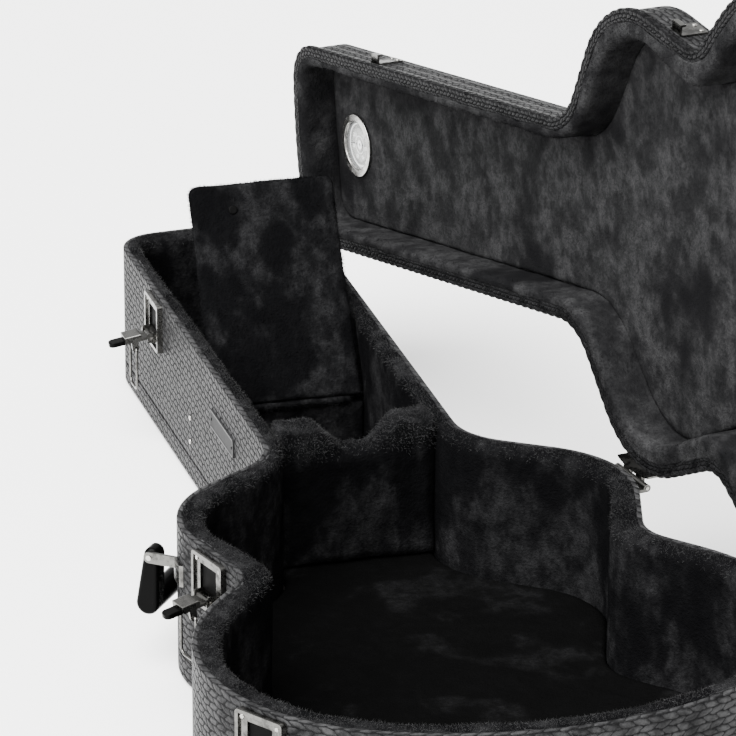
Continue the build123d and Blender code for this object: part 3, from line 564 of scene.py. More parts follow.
def make_wood():
    """Plywood set nearly black as painted shade, since it shows only in the gaps between the coverings,
    with an upright grain.
    """
    material, shader, w = new_material("plywood", 0.7)
    spot = w.add("ShaderNodeMapping", {"Vector": object_place(w), "Scale": (40.0, 40.0, 4.0)}).outputs[0]
    grain = w.noise(spot, 6.0, 5.0, 0.6)
    links = material.node_tree.links
    # Nearly black: painted shade for the grooves where the wall shows between the vinyl pieces.
    dark, light = (0.0030, 0.0024, 0.0018, 1.0), (0.0075, 0.0060, 0.0045, 1.0)
    links.new(w.blend(grain, dark, light), shader.inputs["Base Color"])
    links.new(w.bump(grain, 0.4, 0.3 * MM), shader.inputs["Normal"])
    return material


def make_glass():
    """A clear lens that the dial shows through."""
    material, shader, w = new_material("lens", 0.04, Alpha=0.07, Metallic=0.0, IOR=1.3)
    shader.inputs["Base Color"].default_value = (0.95, 0.97, 0.97, 1.0)
    smear = w.noise(object_place(w), 30.0, 2.0, 0.5)
    material.node_tree.links.new(w.math("MULTIPLY_ADD", smear, 0.05, 0.02), shader.inputs["Roughness"])
    return material


def grey(level, blue):
    """A nearly neutral colour: its red and green, and its blue."""
    return (level, level, blue, 1.0)


tile_slant = 0.45
vinyl = make_vinyl(
    "vinyl", 12.0 * MM, 5.6 * MM, tile_slant, grey(0.008, 0.0083), grey(0.034, 0.0345), 1.5 * MM
)
plush = make_plush("plush", (1.0, 1.0, 0.6), 20.0, 0.52, grey(0.0017, 0.0019), grey(0.013, 0.0135))
# The same plush for the floor of the case, set darker: painted shade deep in the bay.
shaded_floor_pile = make_plush(
    "shaded_floor_pile", (1.0, 1.0, 0.6), 14.0, 0.42, grey(0.0012, 0.0012), grey(0.0052, 0.0054)
)
# The same plush, set much lighter, for the fibres on the tops of the side roll and the cradle: painted
# light on the tops.
lit_top_pile = make_plush("lit_top_pile", (1.0, 1.0, 1.0), 30.0, 0.6, grey(0.017, 0.0172), grey(0.045, 0.0455))
# The same plush for the lid's lining, set lighter: painted light on the open lid's lining.
lit_lid_plush = make_plush("lit_lid_plush", (1.0, 1.0, 0.9), 10.0, 0.6, grey(0.0040, 0.0043), grey(0.027, 0.0275))
# The same black vinyl as the walls, set several times darker: painted shade on the lid's rim.
binding_shaded = make_vinyl(
    "binding", 7.0 * MM, 3.4 * MM, tile_slant, grey(0.001, 0.0012), grey(0.012, 0.0125), 1.6 * MM
)
nickel = make_metal("nickel", (0.12, 0.118, 0.112, 1.0), 0.2, 0.3)
dark_plate = make_painted("dark_plate", grey(0.012, 0.0123), 0.5, 0.01, 0.06)
plate_edge = make_painted("plate_edge", grey(0.03, 0.0305), 0.4, 0.01, 0.2)
pin_steel = make_metal("pin_steel", (0.40, 0.39, 0.37, 1.0), 0.18, 0.2)
dark_pin = make_painted("dark_pin", grey(0.0006, 0.0006), 0.55, 0.0005, 0.04)
handle_plastic = make_painted("handle_plastic", grey(0.0006, 0.0006), 0.14, 0.0006, 0.03)
gauge_metal = make_metal("gauge_metal", (0.42, 0.415, 0.40, 1.0), 0.16, 0.15)
gauge_case = make_painted("gauge_case", grey(0.01, 0.01), 0.5, 0.01)
dial_white = make_painted("dial_white", (0.33, 0.328, 0.315, 1.0), 0.6, 0.03, 0.2)
needle_black = make_painted("needle_black", grey(0.004, 0.004), 0.4, 0.002)
plywood = make_wood()
lens = make_glass()
print("materials:", len(bpy.data.materials))

# %% [markdown]
# ## The vinyl on the base
# The base is covered in two pieces of embossed vinyl. The lower one wraps the bottom and comes 22 mm
# up the wall. The upper one covers the rest, turns over the rim and ends 7 mm in, just under the edge
# of the plush. Each stops a little short of the other, and the wall shows between them as a dark groove.

# %% Wrap the base
cover = 1.2 * MM
base_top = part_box("wall_cover")[1].z
wrap_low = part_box("wall_cover")[0].z
strip_in = 7.0 * MM
rim_round = 1.6 * MM
stop_short = 0.8 * MM


def bowl(name, grid, run, length):
    """A closed sheet that wraps a face: the first and last ring of the grid are filled in flat."""
    count, width = grid.shape[:2]
    faces = grid_faces(count, width, True, False).tolist()
    faces.append([i * width for i in range(count)][::-1])
    faces.append([i * width + width - 1 for i in range(count)])
    mesh = bpy.data.meshes.new(name)
    mesh.from_pydata(grid.reshape(-1, 3).tolist(), [], faces)
    hops = np.linalg.norm(np.diff(grid[0], axis=0), axis=1)
    across = np.concatenate([[0], np.cumsum(hops)])
    along = np.concatenate([run, [length]])
    i = np.repeat(np.arange(count), width - 1)
    j = np.tile(np.arange(width - 1), count)
    corners_u = np.stack([along[i], along[i + 1], along[i + 1], along[i]], axis=1)
    corners_v = np.stack([across[j], across[j], across[j + 1], across[j + 1]], axis=1)
    sides = np.stack([corners_u, corners_v], axis=2).reshape(-1, 2)
    caps = np.vstack([grid[::-1, 0, :2], grid[:, -1, :2]])
    uv = mesh.uv_layers.new(name="metres")
    uv.data.foreach_set("uv", np.vstack([sides, caps]).ravel())
    return new_object(name, mesh)


def dress(piece, material, body, slot, *stands_for):
    """Give a finished piece its material and its body, and hide the nodes it stands for. The slot is not
    used.
    """
    piece.data.materials.append(material)
    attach(piece, body)
    if stands_for:
        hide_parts(*stands_for)
    return counted(piece)


def wall_section():
    """Section of the upper vinyl: up the wall, over the rim and back down behind."""
    top = base_top - rim_round
    low = wrap_low + stop_short
    return (
        line((0, low), (0, top), 40)
        + quarter((-rim_round, top), rim_round, 15, 90, 5)
        + line((-2.2 * rim_round, base_top), (-strip_in + 0.4 * MM, base_top - 0.1 * MM), 4)
        + [(-strip_in, base_top - 0.5 * MM), (-strip_in, base_top - cover), (-cover, base_top - cover)]
        + line((-cover, base_top - 2 * cover), (-cover, low), 3)
    )


wall_grid = follow(shell, wall_section())
wall_vinyl = band("wall_vinyl", wall_grid, shell.run, shell.length)
dress(wall_vinyl, vinyl, "base", "vinyl", "wall_cover")

bottom_round = 5.0 * MM
cap_in = 28.0 * MM
bottom_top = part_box("bottom_cover")[1].z


def bottom_section():
    """Section of the lower vinyl: across the bottom, round the corner, up the wall and back inside."""
    inner = bottom_round - cover
    return (
        line((-cap_in, 0), (-bottom_round - 1 * MM, 0), 6)
        + quarter((-bottom_round, bottom_round), bottom_round, -90, 0, 8)
        + line((0, bottom_round + 2 * MM), (0, bottom_top - stop_short), 6)
        + line((-cover, bottom_top - stop_short), (-cover, bottom_round), 3)
        + quarter((-bottom_round, bottom_round), inner, 0, -90, 5)[1:]
        + line((-bottom_round - 1 * MM, cover), (-cap_in, cover), 3)
    )


bottom_grid = follow(shell, bottom_section())
bottom_piece = bowl("bottom_vinyl", bottom_grid, shell.run, shell.length)


dress(bottom_piece, vinyl, "base", "bottom_vinyl", "bottom_cover")

# %% [markdown]
# ## The seam by the name plate
# The vinyl of the near wall is butted below the tail end of the name plate. The joint shows as a thin
# dark upright line from the plate down to the lower band. The plate itself has a narrow raised border.

# %% Lay the seam and the border
plate_low, plate_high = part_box("name_plate")
plate_spots = np.array([vert.co[:] for vert in nodes["name_plate"].data.vertices])


def outside_at(y, proud):
    """Point on the near wall at a given Y, a little outside the vinyl, with the wall's direction there."""
    near = np.where(shell.points[:, 0] < 0)[0]
    at = near[int(np.argmin(np.abs(shell.points[near, 1] - y)))]
    slope = shell.along[at]
    spot = shell.points[at] + slope * (y - shell.points[at, 1]) / slope[1]
    return spot + shell.out[at] * proud, slope


def wall_bar(work, start, end, low, high, back, front):
    """A thin bar on the near wall, between two places in Y and two heights."""
    corners = []
    for y in (start, end):
        for proud in (back, front):
            spot, slope = outside_at(y, proud)
            corners += [work.verts.new((spot[0], spot[1], z)) for z in (low, high)]
    a, b, c, d, e, f, g, h = corners
    for face in ((a, b, d, c), (e, g, h, f), (a, e, f, b), (c, d, h, g), (a, c, g, e), (b, f, h, d)):
        work.faces.new(face)


def wall_bars(name, bars, material, slot):
    """One object from several bars."""
    work = bmesh.new()
    for bar in bars:
        wall_bar(work, *bar)
    bmesh.ops.recalc_face_normals(work, faces=work.faces)
    mesh = bpy.data.meshes.new(name)
    work.to_mesh(mesh)
    work.free()
    made = bpy.data.objects.new(name, mesh)
    scene.collection.objects.link(made)
    return dress(made, material, "base", slot)


seam_y = plate_spots[:, 1].min() + 0.6 * MM
seam_bar = (seam_y, seam_y + 1.1 * MM, wrap_low + 1.0 * MM, plate_low.z, -0.4 * MM, 0.12 * MM)
wall_bars("wall_seam", [seam_bar], dark_pin, "vinyl")
edge_y = (plate_spots[:, 1].min(), plate_spots[:, 1].max())
border = 1.3 * MM
plate_face = 1.2 * MM
edge_in = 0.3 * MM
border_y = (edge_y[0] + edge_in, edge_y[1] - edge_in)
border_z = (plate_low.z + edge_in, plate_high.z - edge_in)
border_out = (plate_face - 0.3 * MM, plate_face + 0.35 * MM)
border_bars = [(*border_y, low, low + border, *border_out) for low in (border_z[0], border_z[1] - border)]
border_bars += [(low, low + border, *border_z, *border_out) for low in (border_y[0], border_y[1] - border)]
wall_bars("name_plate_border", border_bars, plate_edge, "dark_plate")

# %% [markdown]
# ## The vinyl on the lid
# The lid is wrapped the same way, with two dark grooves round its side, and its rim is bound by a
# narrow band of black embossed vinyl, set several times darker than the wall's vinyl as painted shade on
# the lid's rim. A row of beads along the band's edge catches the light as a dotted line all the way
# round the open lid.

# %% Wrap the lid and bind its rim
lid_top = lid_cover_box[1].z
skirt_low = binding_box[1].z
groove_deep = 0.9 * MM
groove_half = 0.8 * MM
groove_heights = (lid_top - 25.5 * MM, lid_top - 14.4 * MM)


def notch_at(height, centre):
    """Depth of a round-bottomed groove at one height."""
    return groove_deep * exp(-((height - centre) / groove_half) ** 2)


def lid_section():
    """Section of the lid's vinyl, from the inner side of the top, out, down the side and back."""
    corner = bottom_round
    heights = np.linspace(lid_top - corner - 0.6 * MM, skirt_low, 42)
    skirt = [(-sum(notch_at(z, groove) for groove in groove_heights), z) for z in heights]
    outside = (
        line((-cap_in, lid_top), (-corner - 1 * MM, lid_top), 6)
        + quarter((-corner, lid_top - corner), corner, 90, 0, 8)
        + skirt
    )
    inner = corner - cover
    inside_face = (
        line((-cover - groove_deep, skirt_low), (-cover - groove_deep, lid_top - corner), 4)
        + quarter((-corner, lid_top - corner), inner, 40, 90, 5)
        + line((-corner - 1 * MM, lid_top - cover), (-cap_in, lid_top - cover), 3)
    )
    return outside + inside_face


def open_up(piece):
    """Turn a piece modelled on the shut lid to where the lid stands."""
    piece.data.transform(lid_turn)
    piece.data.update()
    return piece


lid_grid = follow(shell, lid_section())[:, ::-1, :]
lid_vinyl = open_up(bowl("lid_vinyl", lid_grid, shell.run, shell.length))
dress(lid_vinyl, vinyl, "lid", "vinyl", "lid_top_cover", "lid_wall_cover")

fine_shell = Outline(cut_loops("wall_cover", wall_middle)[0], 1.6 * MM)
roll_low = binding_box[0].z
roll_proud = 2.4 * MM
bead_pitch = fine_shell.length / round(fine_shell.length / (12.0 * MM))


def binding_section():
    """Section of the binding: under the rim, round its edge, up the side and back."""
    edge = 2.4 * MM
    return (
        line((-8.8 * MM, roll_low + 0.35 * MM), (roll_proud - edge, roll_low), 5)
        + quarter((roll_proud - edge, roll_low + edge), edge, -70, 0, 7)
        + line((roll_proud, roll_low + edge + 0.8 * MM), (roll_proud - 0.3 * MM, skirt_low - 1.4 * MM), 4)
        + quarter((roll_proud - 1.5 * MM, skirt_low - 1.2 * MM), 1.2 * MM, 20, 90, 4)
        + [(0, skirt_low), (-cover, skirt_low)]
        + line((-cover, skirt_low - 2 * MM), (-cover, roll_low + 1.5 * cover), 3)
        + [(-8.8 * MM, roll_low + 1.3 * cover)]
    )


binding_grid = follow(fine_shell, binding_section())
bead = np.sin(pi * fine_shell.run / bead_pitch) ** 2
bead = 0.9 * MM * (bead ** 0.6 - 0.55)
reach = binding_grid[:, :, :2] - fine_shell.points[:, None, :]
outward = np.einsum("ijk,ik->ij", reach, fine_shell.out)
on_edge = np.clip((outward + 1.0 * MM) / (2.6 * MM), 0, 1)
below_skirt = np.clip((skirt_low - 2.0 * MM - binding_grid[:, :, 2]) / (2 * MM), 0, 1)
share = on_edge * below_skirt
binding_grid[:, :, :2] += fine_shell.out[:, None, :] * (bead[:, None] * share)[:, :, None]
binding_grid[:, :, 2] -= bead[:, None] * share * 0.3
binding_roll = open_up(band("lid_binding_roll", binding_grid, fine_shell.run, fine_shell.length))
dress(binding_roll, binding_shaded, "lid", "binding", "lid_binding")

# %% [markdown]
# ## The plush roll inside the walls
# Inside, a padded roll of plush runs round the wall. It is thick at the bouts and thin at the neck. Its
# inner line comes from the frame, and for each point of that line the distance out to the shell says
# how thick the roll is there. The roll's top is a soft crown that falls away into the bay. On the
# outer side it laps a little over the vinyl of the rim, and in the lid over the binding.

# %% Sweep the plush of the base and of the lid
def distance_out(outline, target):
    """For each point of an outline, how far the target loop lies along the outward direction."""
    start = target.points
    edge = np.roll(start, -1, axis=0) - start
    result = np.empty(outline.count)
    for index in range(outline.count):
        point, way = outline.points[index], outline.out[index]
        rel = start - point
        cross = way[0] * edge[:, 1] - way[1] * edge[:, 0]
        cross = np.where(np.abs(cross) < 1e-12, 1e-12, cross)
        reach = (rel[:, 0] * edge[:, 1] - rel[:, 1] * edge[:, 0]) / cross
        part = (rel[:, 0] * way[1] - rel[:, 1] * way[0]) / cross
        good = (part >= -0.001) & (part <= 1.001) & (reach > 0)
        result[index] = reach[good].min() if good.any() else 0.02
    for _ in range(3):
        result = (np.roll(result, 1) + 2 * result + np.roll(result, -1)) / 4
    return result


pad_width = distance_out(inside, shell)


def roll_grid(width, low, high, crown_out, crown_in, lap, flip=False):
    """Points of a padded roll. The crown is at the high end, or at the low end when flipped."""
    rows = []
    side = -1 if flip else 1
    top, bottom = (low, high) if flip else (high, low)
    for index in range(inside.count):
        w = width[index]
        section = line((w, bottom), (w, top - side * 1.1 * crown_out), 5)
        bend = np.radians(np.linspace(-20, 90, 8))
        arc = [(crown_out * (1 - cos(a)), side * crown_out * (1 - sin(a))) for a in bend]
        section += [(w + lap - back, top - down) for back, down in arc]
        round_in = min(crown_in, w - crown_out - 0.5 * MM)
        section += line((w + lap - crown_out - 0.3 * MM, top), (round_in + 0.2 * MM, top), 3)
        bend = np.radians(np.linspace(0, 90, 10))
        deep = 1.35 * crown_in
        section += [(round_in * (1 - sin(a) ** 0.8), top - side * deep * (1 - cos(a) ** 0.9)) for a in bend]
        section += line((0, top - side * (deep + 3 * MM)), (0, bottom), 20)
        rows.append(section)
    rows = np.array(rows)
    if flip:
        rows = rows[:, ::-1]
    spread = inside.points[:, None, :] + inside.out[:, None, :] * rows[:, :, :1]
    return np.concatenate([spread, rows[:, :, 1:]], axis=2)


plush_top = base_top + 0.3 * MM
floor_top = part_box("floor_padding")[1].z
plush_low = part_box("floor_padding")[0].z
base_roll = roll_grid(
    pad_width - strip_in, plush_low, plush_top, crown_out=1.5 * MM, crown_in=8.0 * MM, lap=2.6 * MM
)
side_plush = band("side_plush", base_roll, inside.run, inside.length)
soft_layers = [(0.035, 1.1 * MM, (1, 1, 1.6), 3.0), (0.012, 0.45 * MM, (1, 1, 1), 7.0)]
ruffle(side_plush, soft_layers, 0.9 * MM)
dress(side_plush, plush, "base", "plush", "side_padding")

lid_plush_low = lid_lining_box[0].z
lid_plush_high = lid_lining_box[1].z
binding_in = 9.2 * MM
lid_roll = roll_grid(
    pad_width - binding_in, lid_plush_low, lid_plush_high,
    crown_out=1.5 * MM, crown_in=7.0 * MM, lap=1.4 * MM, flip=True,
)
lid_side_plush = band("lid_side_plush", lid_roll, inside.run, inside.length)
ruffle(lid_side_plush, soft_layers, 1.2 * MM)
open_up(lid_side_plush)
dress(lid_side_plush, lit_lid_plush, "lid", "plush", "lid_side_padding")

# %% [markdown]
# ## The floor and the ceiling
# The flat pads on the floor and on the lid's ceiling are glued down and softly rounded at their edges.
# Each is a grid of rows across the case, closed underneath. The ceiling pad has a round hole for the
# hygrometer, and it puffs up a little against the metal ring.

# %% Lay the flat pads
row_count = 210
column_count = 60


def two_faced(name, x, y, top, under):
    """A closed shell from two grids of heights over the same places, joined round their rims."""
    rows, columns = x.shape
    total = rows * columns
    verts = np.concatenate([
        np.stack([x, y, top], axis=2).reshape(-1, 3),
        np.stack([x, y, under], axis=2).reshape(-1, 3),
    ])
    upper = grid_faces(rows, columns, False, False, flip=True)
    lower = grid_faces(rows, columns, False, False) + total
    rim = list(range(columns)) + [i * columns + columns - 1 for i in range(1, rows)]
    rim += [(rows - 1) * columns + j for j in range(columns - 2, -1, -1)]
    rim += [i * columns for i in range(rows - 2, 0, -1)]
    rim = np.array(rim)
    following = np.roll(rim, -1)
    sides = np.stack([rim + total, following + total, following, rim], axis=1)
    mesh = bpy.data.meshes.new(name)
    mesh.from_pydata(verts.tolist(), [], np.vstack([upper, lower, sides]).tolist())
    return new_object(name, mesh)


def flat_pad(name, low, high, inset, edge, up=1):
    """A closed pad inside the plush line, its face at `high` for up=1 and at `low` for up=-1."""
    ends = inside.points[:, 1].min() + inset, inside.points[:, 1].max() - inset
    turn = np.linspace(0, pi, row_count + 2)[1:-1]
    ys = (ends[0] + ends[1]) / 2 - (ends[1] - ends[0]) / 2 * np.cos(turn)
    even = np.linspace(ends[0], ends[1], row_count + 2)[1:-1]
    ys = 0.25 * ys + 0.75 * even
    half = np.maximum(inside.half_width(ys) - inset, 2 * MM)
    spread = np.linspace(-1, 1, column_count)
    spread = np.sign(spread) * (1 - (1 - np.abs(spread)) ** 1.25)
    x = half[:, None] * spread[None, :]
    y = np.broadcast_to(ys[:, None], x.shape)
    to_side = half[:, None] * (1 - np.abs(spread[None, :]))
    to_end = np.minimum(ys - ends[0], ends[1] - ys)[:, None]
    near = np.clip(np.minimum(to_side, to_end) / edge, 0, 1)
    fall = edge * (1 - np.sqrt(1 - (1 - near) ** 2)) * 0.8
    face = (high - fall) if up > 0 else (low + fall)
    back = np.full(x.shape, low if up > 0 else high)
    top, under = (face, back) if up > 0 else (back, face)
    return two_faced(name, x, y, top, under)


floor_plush = flat_pad("floor_plush", plush_low, floor_top, 0.3 * MM, 6.0 * MM)
ruffle(floor_plush, [(0.06, 1.2 * MM, (1, 1, 1), 11.0), (0.015, 0.4 * MM, (1, 1, 1), 5.0)], 1.5 * MM)
dress(floor_plush, shaded_floor_pile, "base", "plush", "floor_padding")

ceiling_plush = flat_pad(
    "lid_ceiling_plush", lid_ceiling_box[0].z, lid_ceiling_box[1].z, 0.3 * MM, 4.0 * MM, up=-1
)
gauge_joint = joints["gauge_needle"]
gauge_middle = lid_turn.inverted() @ Vector(gauge_joint["pos_m"])
print("gauge when shut:", gauge_middle[:])

# %% Cut the ceiling's hole for the hygrometer
gauge_radius = (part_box("gauge_cup")[1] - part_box("gauge_cup")[0]).z / 2
hole_radius = gauge_radius + 0.5 * MM


def cut_round_hole(piece, centre, radius):
    """Cut a round hole through a level pad and give the hole its own wall."""
    work = bmesh.new()
    work.from_mesh(piece.data)
    near = [face for face in work.faces if (face.calc_center_median().xy - centre.xy).length < radius]
    bmesh.ops.delete(work, geom=near, context="FACES")
    for vert in work.verts:
        away = vert.co.xy - centre.xy
        if vert.is_boundary and away.length < 1.9 * radius:
            vert.co.xy = centre.xy + away.normalized() * radius
    open_edges = [edge for edge in work.edges if edge.is_boundary]
    bmesh.ops.bridge_loops(work, edges=open_edges)
    bmesh.ops.recalc_face_normals(work, faces=work.faces)
    work.to_mesh(piece.data)
    work.free()
    piece.data.shade_smooth()


def puff_round(piece, centre, radius):
    """Let the pad swell towards the ring that presses on it."""
    for vert in piece.data.vertices:
        away = (vert.co.xy - centre.xy).length - radius
        if vert.co.z < lid_ceiling_box[0].z + 2.5 * MM and away < 30 * MM:
            vert.co.z -= 1.3 * MM * exp(-(away / (9 * MM)) ** 2)


cut_round_hole(ceiling_plush, gauge_middle, hole_radius)
ruffle(ceiling_plush, [(0.05, 0.7 * MM, (1, 1, 1), 21.0), (0.015, 0.3 * MM, (1, 1, 1), 6.0)], 0.8 * MM)
puff_round(ceiling_plush, gauge_middle, hole_radius)
open_up(ceiling_plush)
dress(ceiling_plush, lit_lid_plush, "lid", "plush", "lid_ceiling_padding")

# %% [markdown]
# ## The neck cradle and the compartment
# The cradle across the throat is a foam block pulled over with plush, with a round-bottomed notch for
# the neck. It starts from its solid, is remeshed into even quads, and is then puffed by a short cloth
# simulation with a little pressure inside. The cross wall behind it is only wrapped, so it is smoothed.
# The cloth roll that the flap turns on is smoothed too, and grown by a millimetre.

# %% Remesh a solid and puff it
def remeshed(name, node, size, grow=0.0):
    """An even quad mesh of a frame solid, optionally grown a little."""
    work = bmesh.new()
    work.from_mesh(nodes[node].data)
    bmesh.ops.remove_doubles(work, verts=work.verts, dist=weld)
    bmesh.ops.recalc_face_normals(work, faces=work.faces)
    mesh = bpy.data.meshes.new(name)
    work.to_mesh(mesh)
    work.free()
    piece = new_object(name, mesh)
    even = piece.modifiers.new("even", "REMESH")
    even.mode = "VOXEL"
    even.voxel_size = size
    relax = piece.modifiers.new("relax", "SMOOTH")
    relax.factor = 0.5
    relax.iterations = 3
    bake(piece)
    if grow:
        swell(piece, grow)
    return piece


def swell(piece, amount):
    """Move every point outwards along its normal."""
    mesh = piece.data
    normals = read_rows(mesh.vertex_normals, "vector")
    mesh.vertices.foreach_set("co", (read_rows(mesh.vertices, "co") + normals * amount).ravel())
    mesh.update()


def bake(piece):
    """Turn a piece's modifiers into plain mesh."""
    bpy.context.view_layer.update()
    made = bpy.data.meshes.new_from_object(piece.evaluated_get(bpy.context.evaluated_depsgraph_get()))
    piece.modifiers.clear()
    old = piece.data
    piece.data = made
    made.name = piece.name
    bpy.data.meshes.remove(old)
    made.shade_smooth()


def puffed(piece, pressure, limit, frames=14):
    """Puff a closed mesh with cloth pressure, and keep every point within `limit` of its start."""
    start = read_rows(piece.data.vertices, "co")
    cloth = piece.modifiers.new("cloth", "CLOTH")
    cloth.settings.use_pressure = True
    cloth.settings.uniform_pressure_force = pressure
    cloth.settings.effector_weights.gravity = 0
    cloth.settings.quality = 6
    cloth.point_cache.frame_start = 1
    cloth.point_cache.frame_end = frames
    for frame_number in range(1, frames + 1):
        scene.frame_set(frame_number)
    bake(piece)
    scene.frame_set(1)
    mesh = piece.data
    move = read_rows(mesh.vertices, "co") - start
    length = np.linalg.norm(move, axis=1)
    move *= np.minimum(1, limit / np.maximum(length, 1e-9))[:, None]
    mesh.vertices.foreach_set("co", (start + move).ravel())
    mesh.update()
    furthest = round(float(length.max()) * 1000, 2)
    print(piece.name, "puffed by up to", furthest, "mm, kept under", limit * 1000)
    return piece


cradle = remeshed("cradle_plush", "neck_cradle", 2.4 * MM, grow=0.4 * MM)
puffed(cradle, 3.0, 1.5 * MM)
ruffle(cradle, [(0.03, 1.6 * MM, (1, 1, 1), 31.0), (0.01, 0.6 * MM, (1, 1, 1), 4.0)], 1.8 * MM)
dress(cradle, plush, "base", "plush", "neck_cradle")

cross_wall = remeshed("cross_wall_plush", "compartment_wall", 2.0 * MM)
ruffle(cross_wall, [(0.02, 0.4 * MM, (1, 1, 1), 41.0)], 0.5 * MM)
dress(cross_wall, plush, "base", "plush", "compartment_wall")

hinge_roll = remeshed("flap_hinge_roll_plush", "flap_hinge_roll", 1.2 * MM, grow=1.0 * MM)
ruffle(hinge_roll, [(0.02, 0.8 * MM, (1, 1, 1), 43.0), (0.006, 0.4 * MM, (1, 1, 1), 4.0)], 0.9 * MM)
dress(hinge_roll, plush, "base", "plush", "flap_hinge_roll")

# %% [markdown]
# ## The flap of the accessory compartment
# The flap is a thin board wrapped in plush on both faces. It is modelled lying level and then raised by
# 118 degrees about its hinge line. The plush thickens away from the edges, pulls into light folds near
# the hinge, reaches a little past the board at the free edge, and its free corners are round.

# %% Wrap the flap
flap_joint = joints["flap_hinge"]
flap_point = Vector(flap_joint["pos_m"])
flap_raised = radians(118.0)
past_board = 2.0 * MM
flap_turn = turn_about(flap_point, flap_raised, (-1, 0, 0))
flap_level = undone(flap_turn, [vert.co for vert in nodes["flap_plush"].data.vertices])
flap_low, flap_high = flap_level.min(axis=0), flap_level.max(axis=0)
flap_low[1] -= past_board
flap_rows = 96
flap_columns = 72
flap_round = 8.0 * MM
flap_taper = 2.5 * MM


def flap_half_width(along):
    """Half width of the flap at a distance from its free edge, with the free corners rounded."""
    length = flap_high[1] - flap_low[1]
    half = flap_high[0] - flap_taper * (1 - along / length)
    corner = np.clip((flap_round - along) / flap_round, 0, 1)
    return half - flap_round * (1 - np.sqrt(1 - corner ** 2))


def flap_shell():
    """A closed shell round the board: two crowned faces that meet in a rounded edge."""
    length = flap_high[1] - flap_low[1]
    t = np.linspace(0, 1, flap_rows)
    along = length * (0.5 - 0.5 * np.cos(pi * t)) * 0.35 + length * t * 0.65
    half = flap_half_width(along)
    spread = np.linspace(-1, 1, flap_columns)
    spread = np.sign(spread) * (1 - (1 - np.abs(spread)) ** 1.3)
    x = half[:, None] * spread[None, :]
    y = np.broadcast_to(flap_low[1] + along[:, None], x.shape)
    side = half[:, None] * (1 - np.abs(spread[None, :]))
    end = np.minimum(along, length - along)[:, None] * np.ones_like(side)
    near = np.minimum(side, end)
    edge = np.clip(near / (4.2 * MM), 0, 1)
    middle = (flap_low[2] + flap_high[2]) / 2
    thick = (flap_high[2] - flap_low[2]) / 2
    rise = thick * np.sqrt(1 - (1 - edge) ** 2) + 1.0 * MM * np.clip(near / (45 * MM), 0, 1)
    fold = np.exp(-((along[:, None] - length) / (26 * MM)) ** 2)
    streak = np.array([
        [noise.noise(Vector((60 * a, 14 * b, 5.0))) for a in row] for row, b in zip(x, along)
    ])
    rise = rise + 2.2 * MM * fold * streak * edge
    return two_faced("flap_plush_wrap", x, y, middle + rise, middle - rise)


flap_wrap = flap_shell()
work = bmesh.new()
work.from_mesh(flap_wrap.data)
bmesh.ops.remove_doubles(work, verts=work.verts, dist=weld)
bmesh.ops.recalc_face_normals(work, faces=work.faces)
work.to_mesh(flap_wrap.data)
work.free()
ruffle(flap_wrap, [(0.045, 1.2 * MM, (1, 1, 1), 51.0), (0.012, 0.4 * MM, (1, 1, 1), 8.0)], 1.3 * MM)
flap_wrap.data.transform(flap_turn)
flap_wrap.data.update()
dress(flap_wrap, plush, "flap", "plush", "flap_plush")

# %% [markdown]
# ## The pile along the edges
# Where plush is seen edge on, its fibres stand out against whatever is behind, so the edges look soft
# and fuzzy. Thin fibres are scattered over the plush by Geometry Nodes, thickly where a painted value
# on the mesh is high and sparsely elsewhere, and each leans its own way. On the crown of the side roll
# and the top of the cradle the fibres get a much lighter copy of the plush: painted light on the tops.

# %% Scatter fibres over the plush
fibre_length = 2.6 * MM
fibre_radius = 0.17 * MM
fibre_lean = 1.3


def new_geometry_group(name, sockets):
    """A Geometry Nodes group from a mesh to a mesh, with named inputs."""
    group = bpy.data.node_groups.new(name, "GeometryNodeTree")
    group.interface.new_socket("Geometry", in_out="INPUT", socket_type="NodeSocketGeometry")
    for label, kind, default in sockets:
        socket = group.interface.new_socket(label, in_out="INPUT", socket_type="NodeSocket" + kind)
        if default is not None:
            socket.default_value = default
    group.interface.new_socket("Geometry", in_out="OUTPUT", socket_type="NodeSocketGeometry")
    return group, group.nodes.new("NodeGroupInput"), group.nodes.new("NodeGroupOutput")


def set_copies(w, material, points, shape, turn, size):
    """Copies of a shape on points, made real and given their material."""
    copies = w.add("GeometryNodeInstanceOnPoints", {
        "Points": points, "Instance": shape, "Rotation": turn, "Scale": size,
    })
    real = w.add("GeometryNodeRealizeInstances", {0: copies.outputs[0]})
    return w.add("GeometryNodeSetMaterial", {"Geometry": real.outputs[0], "Material": material}).outputs[0]


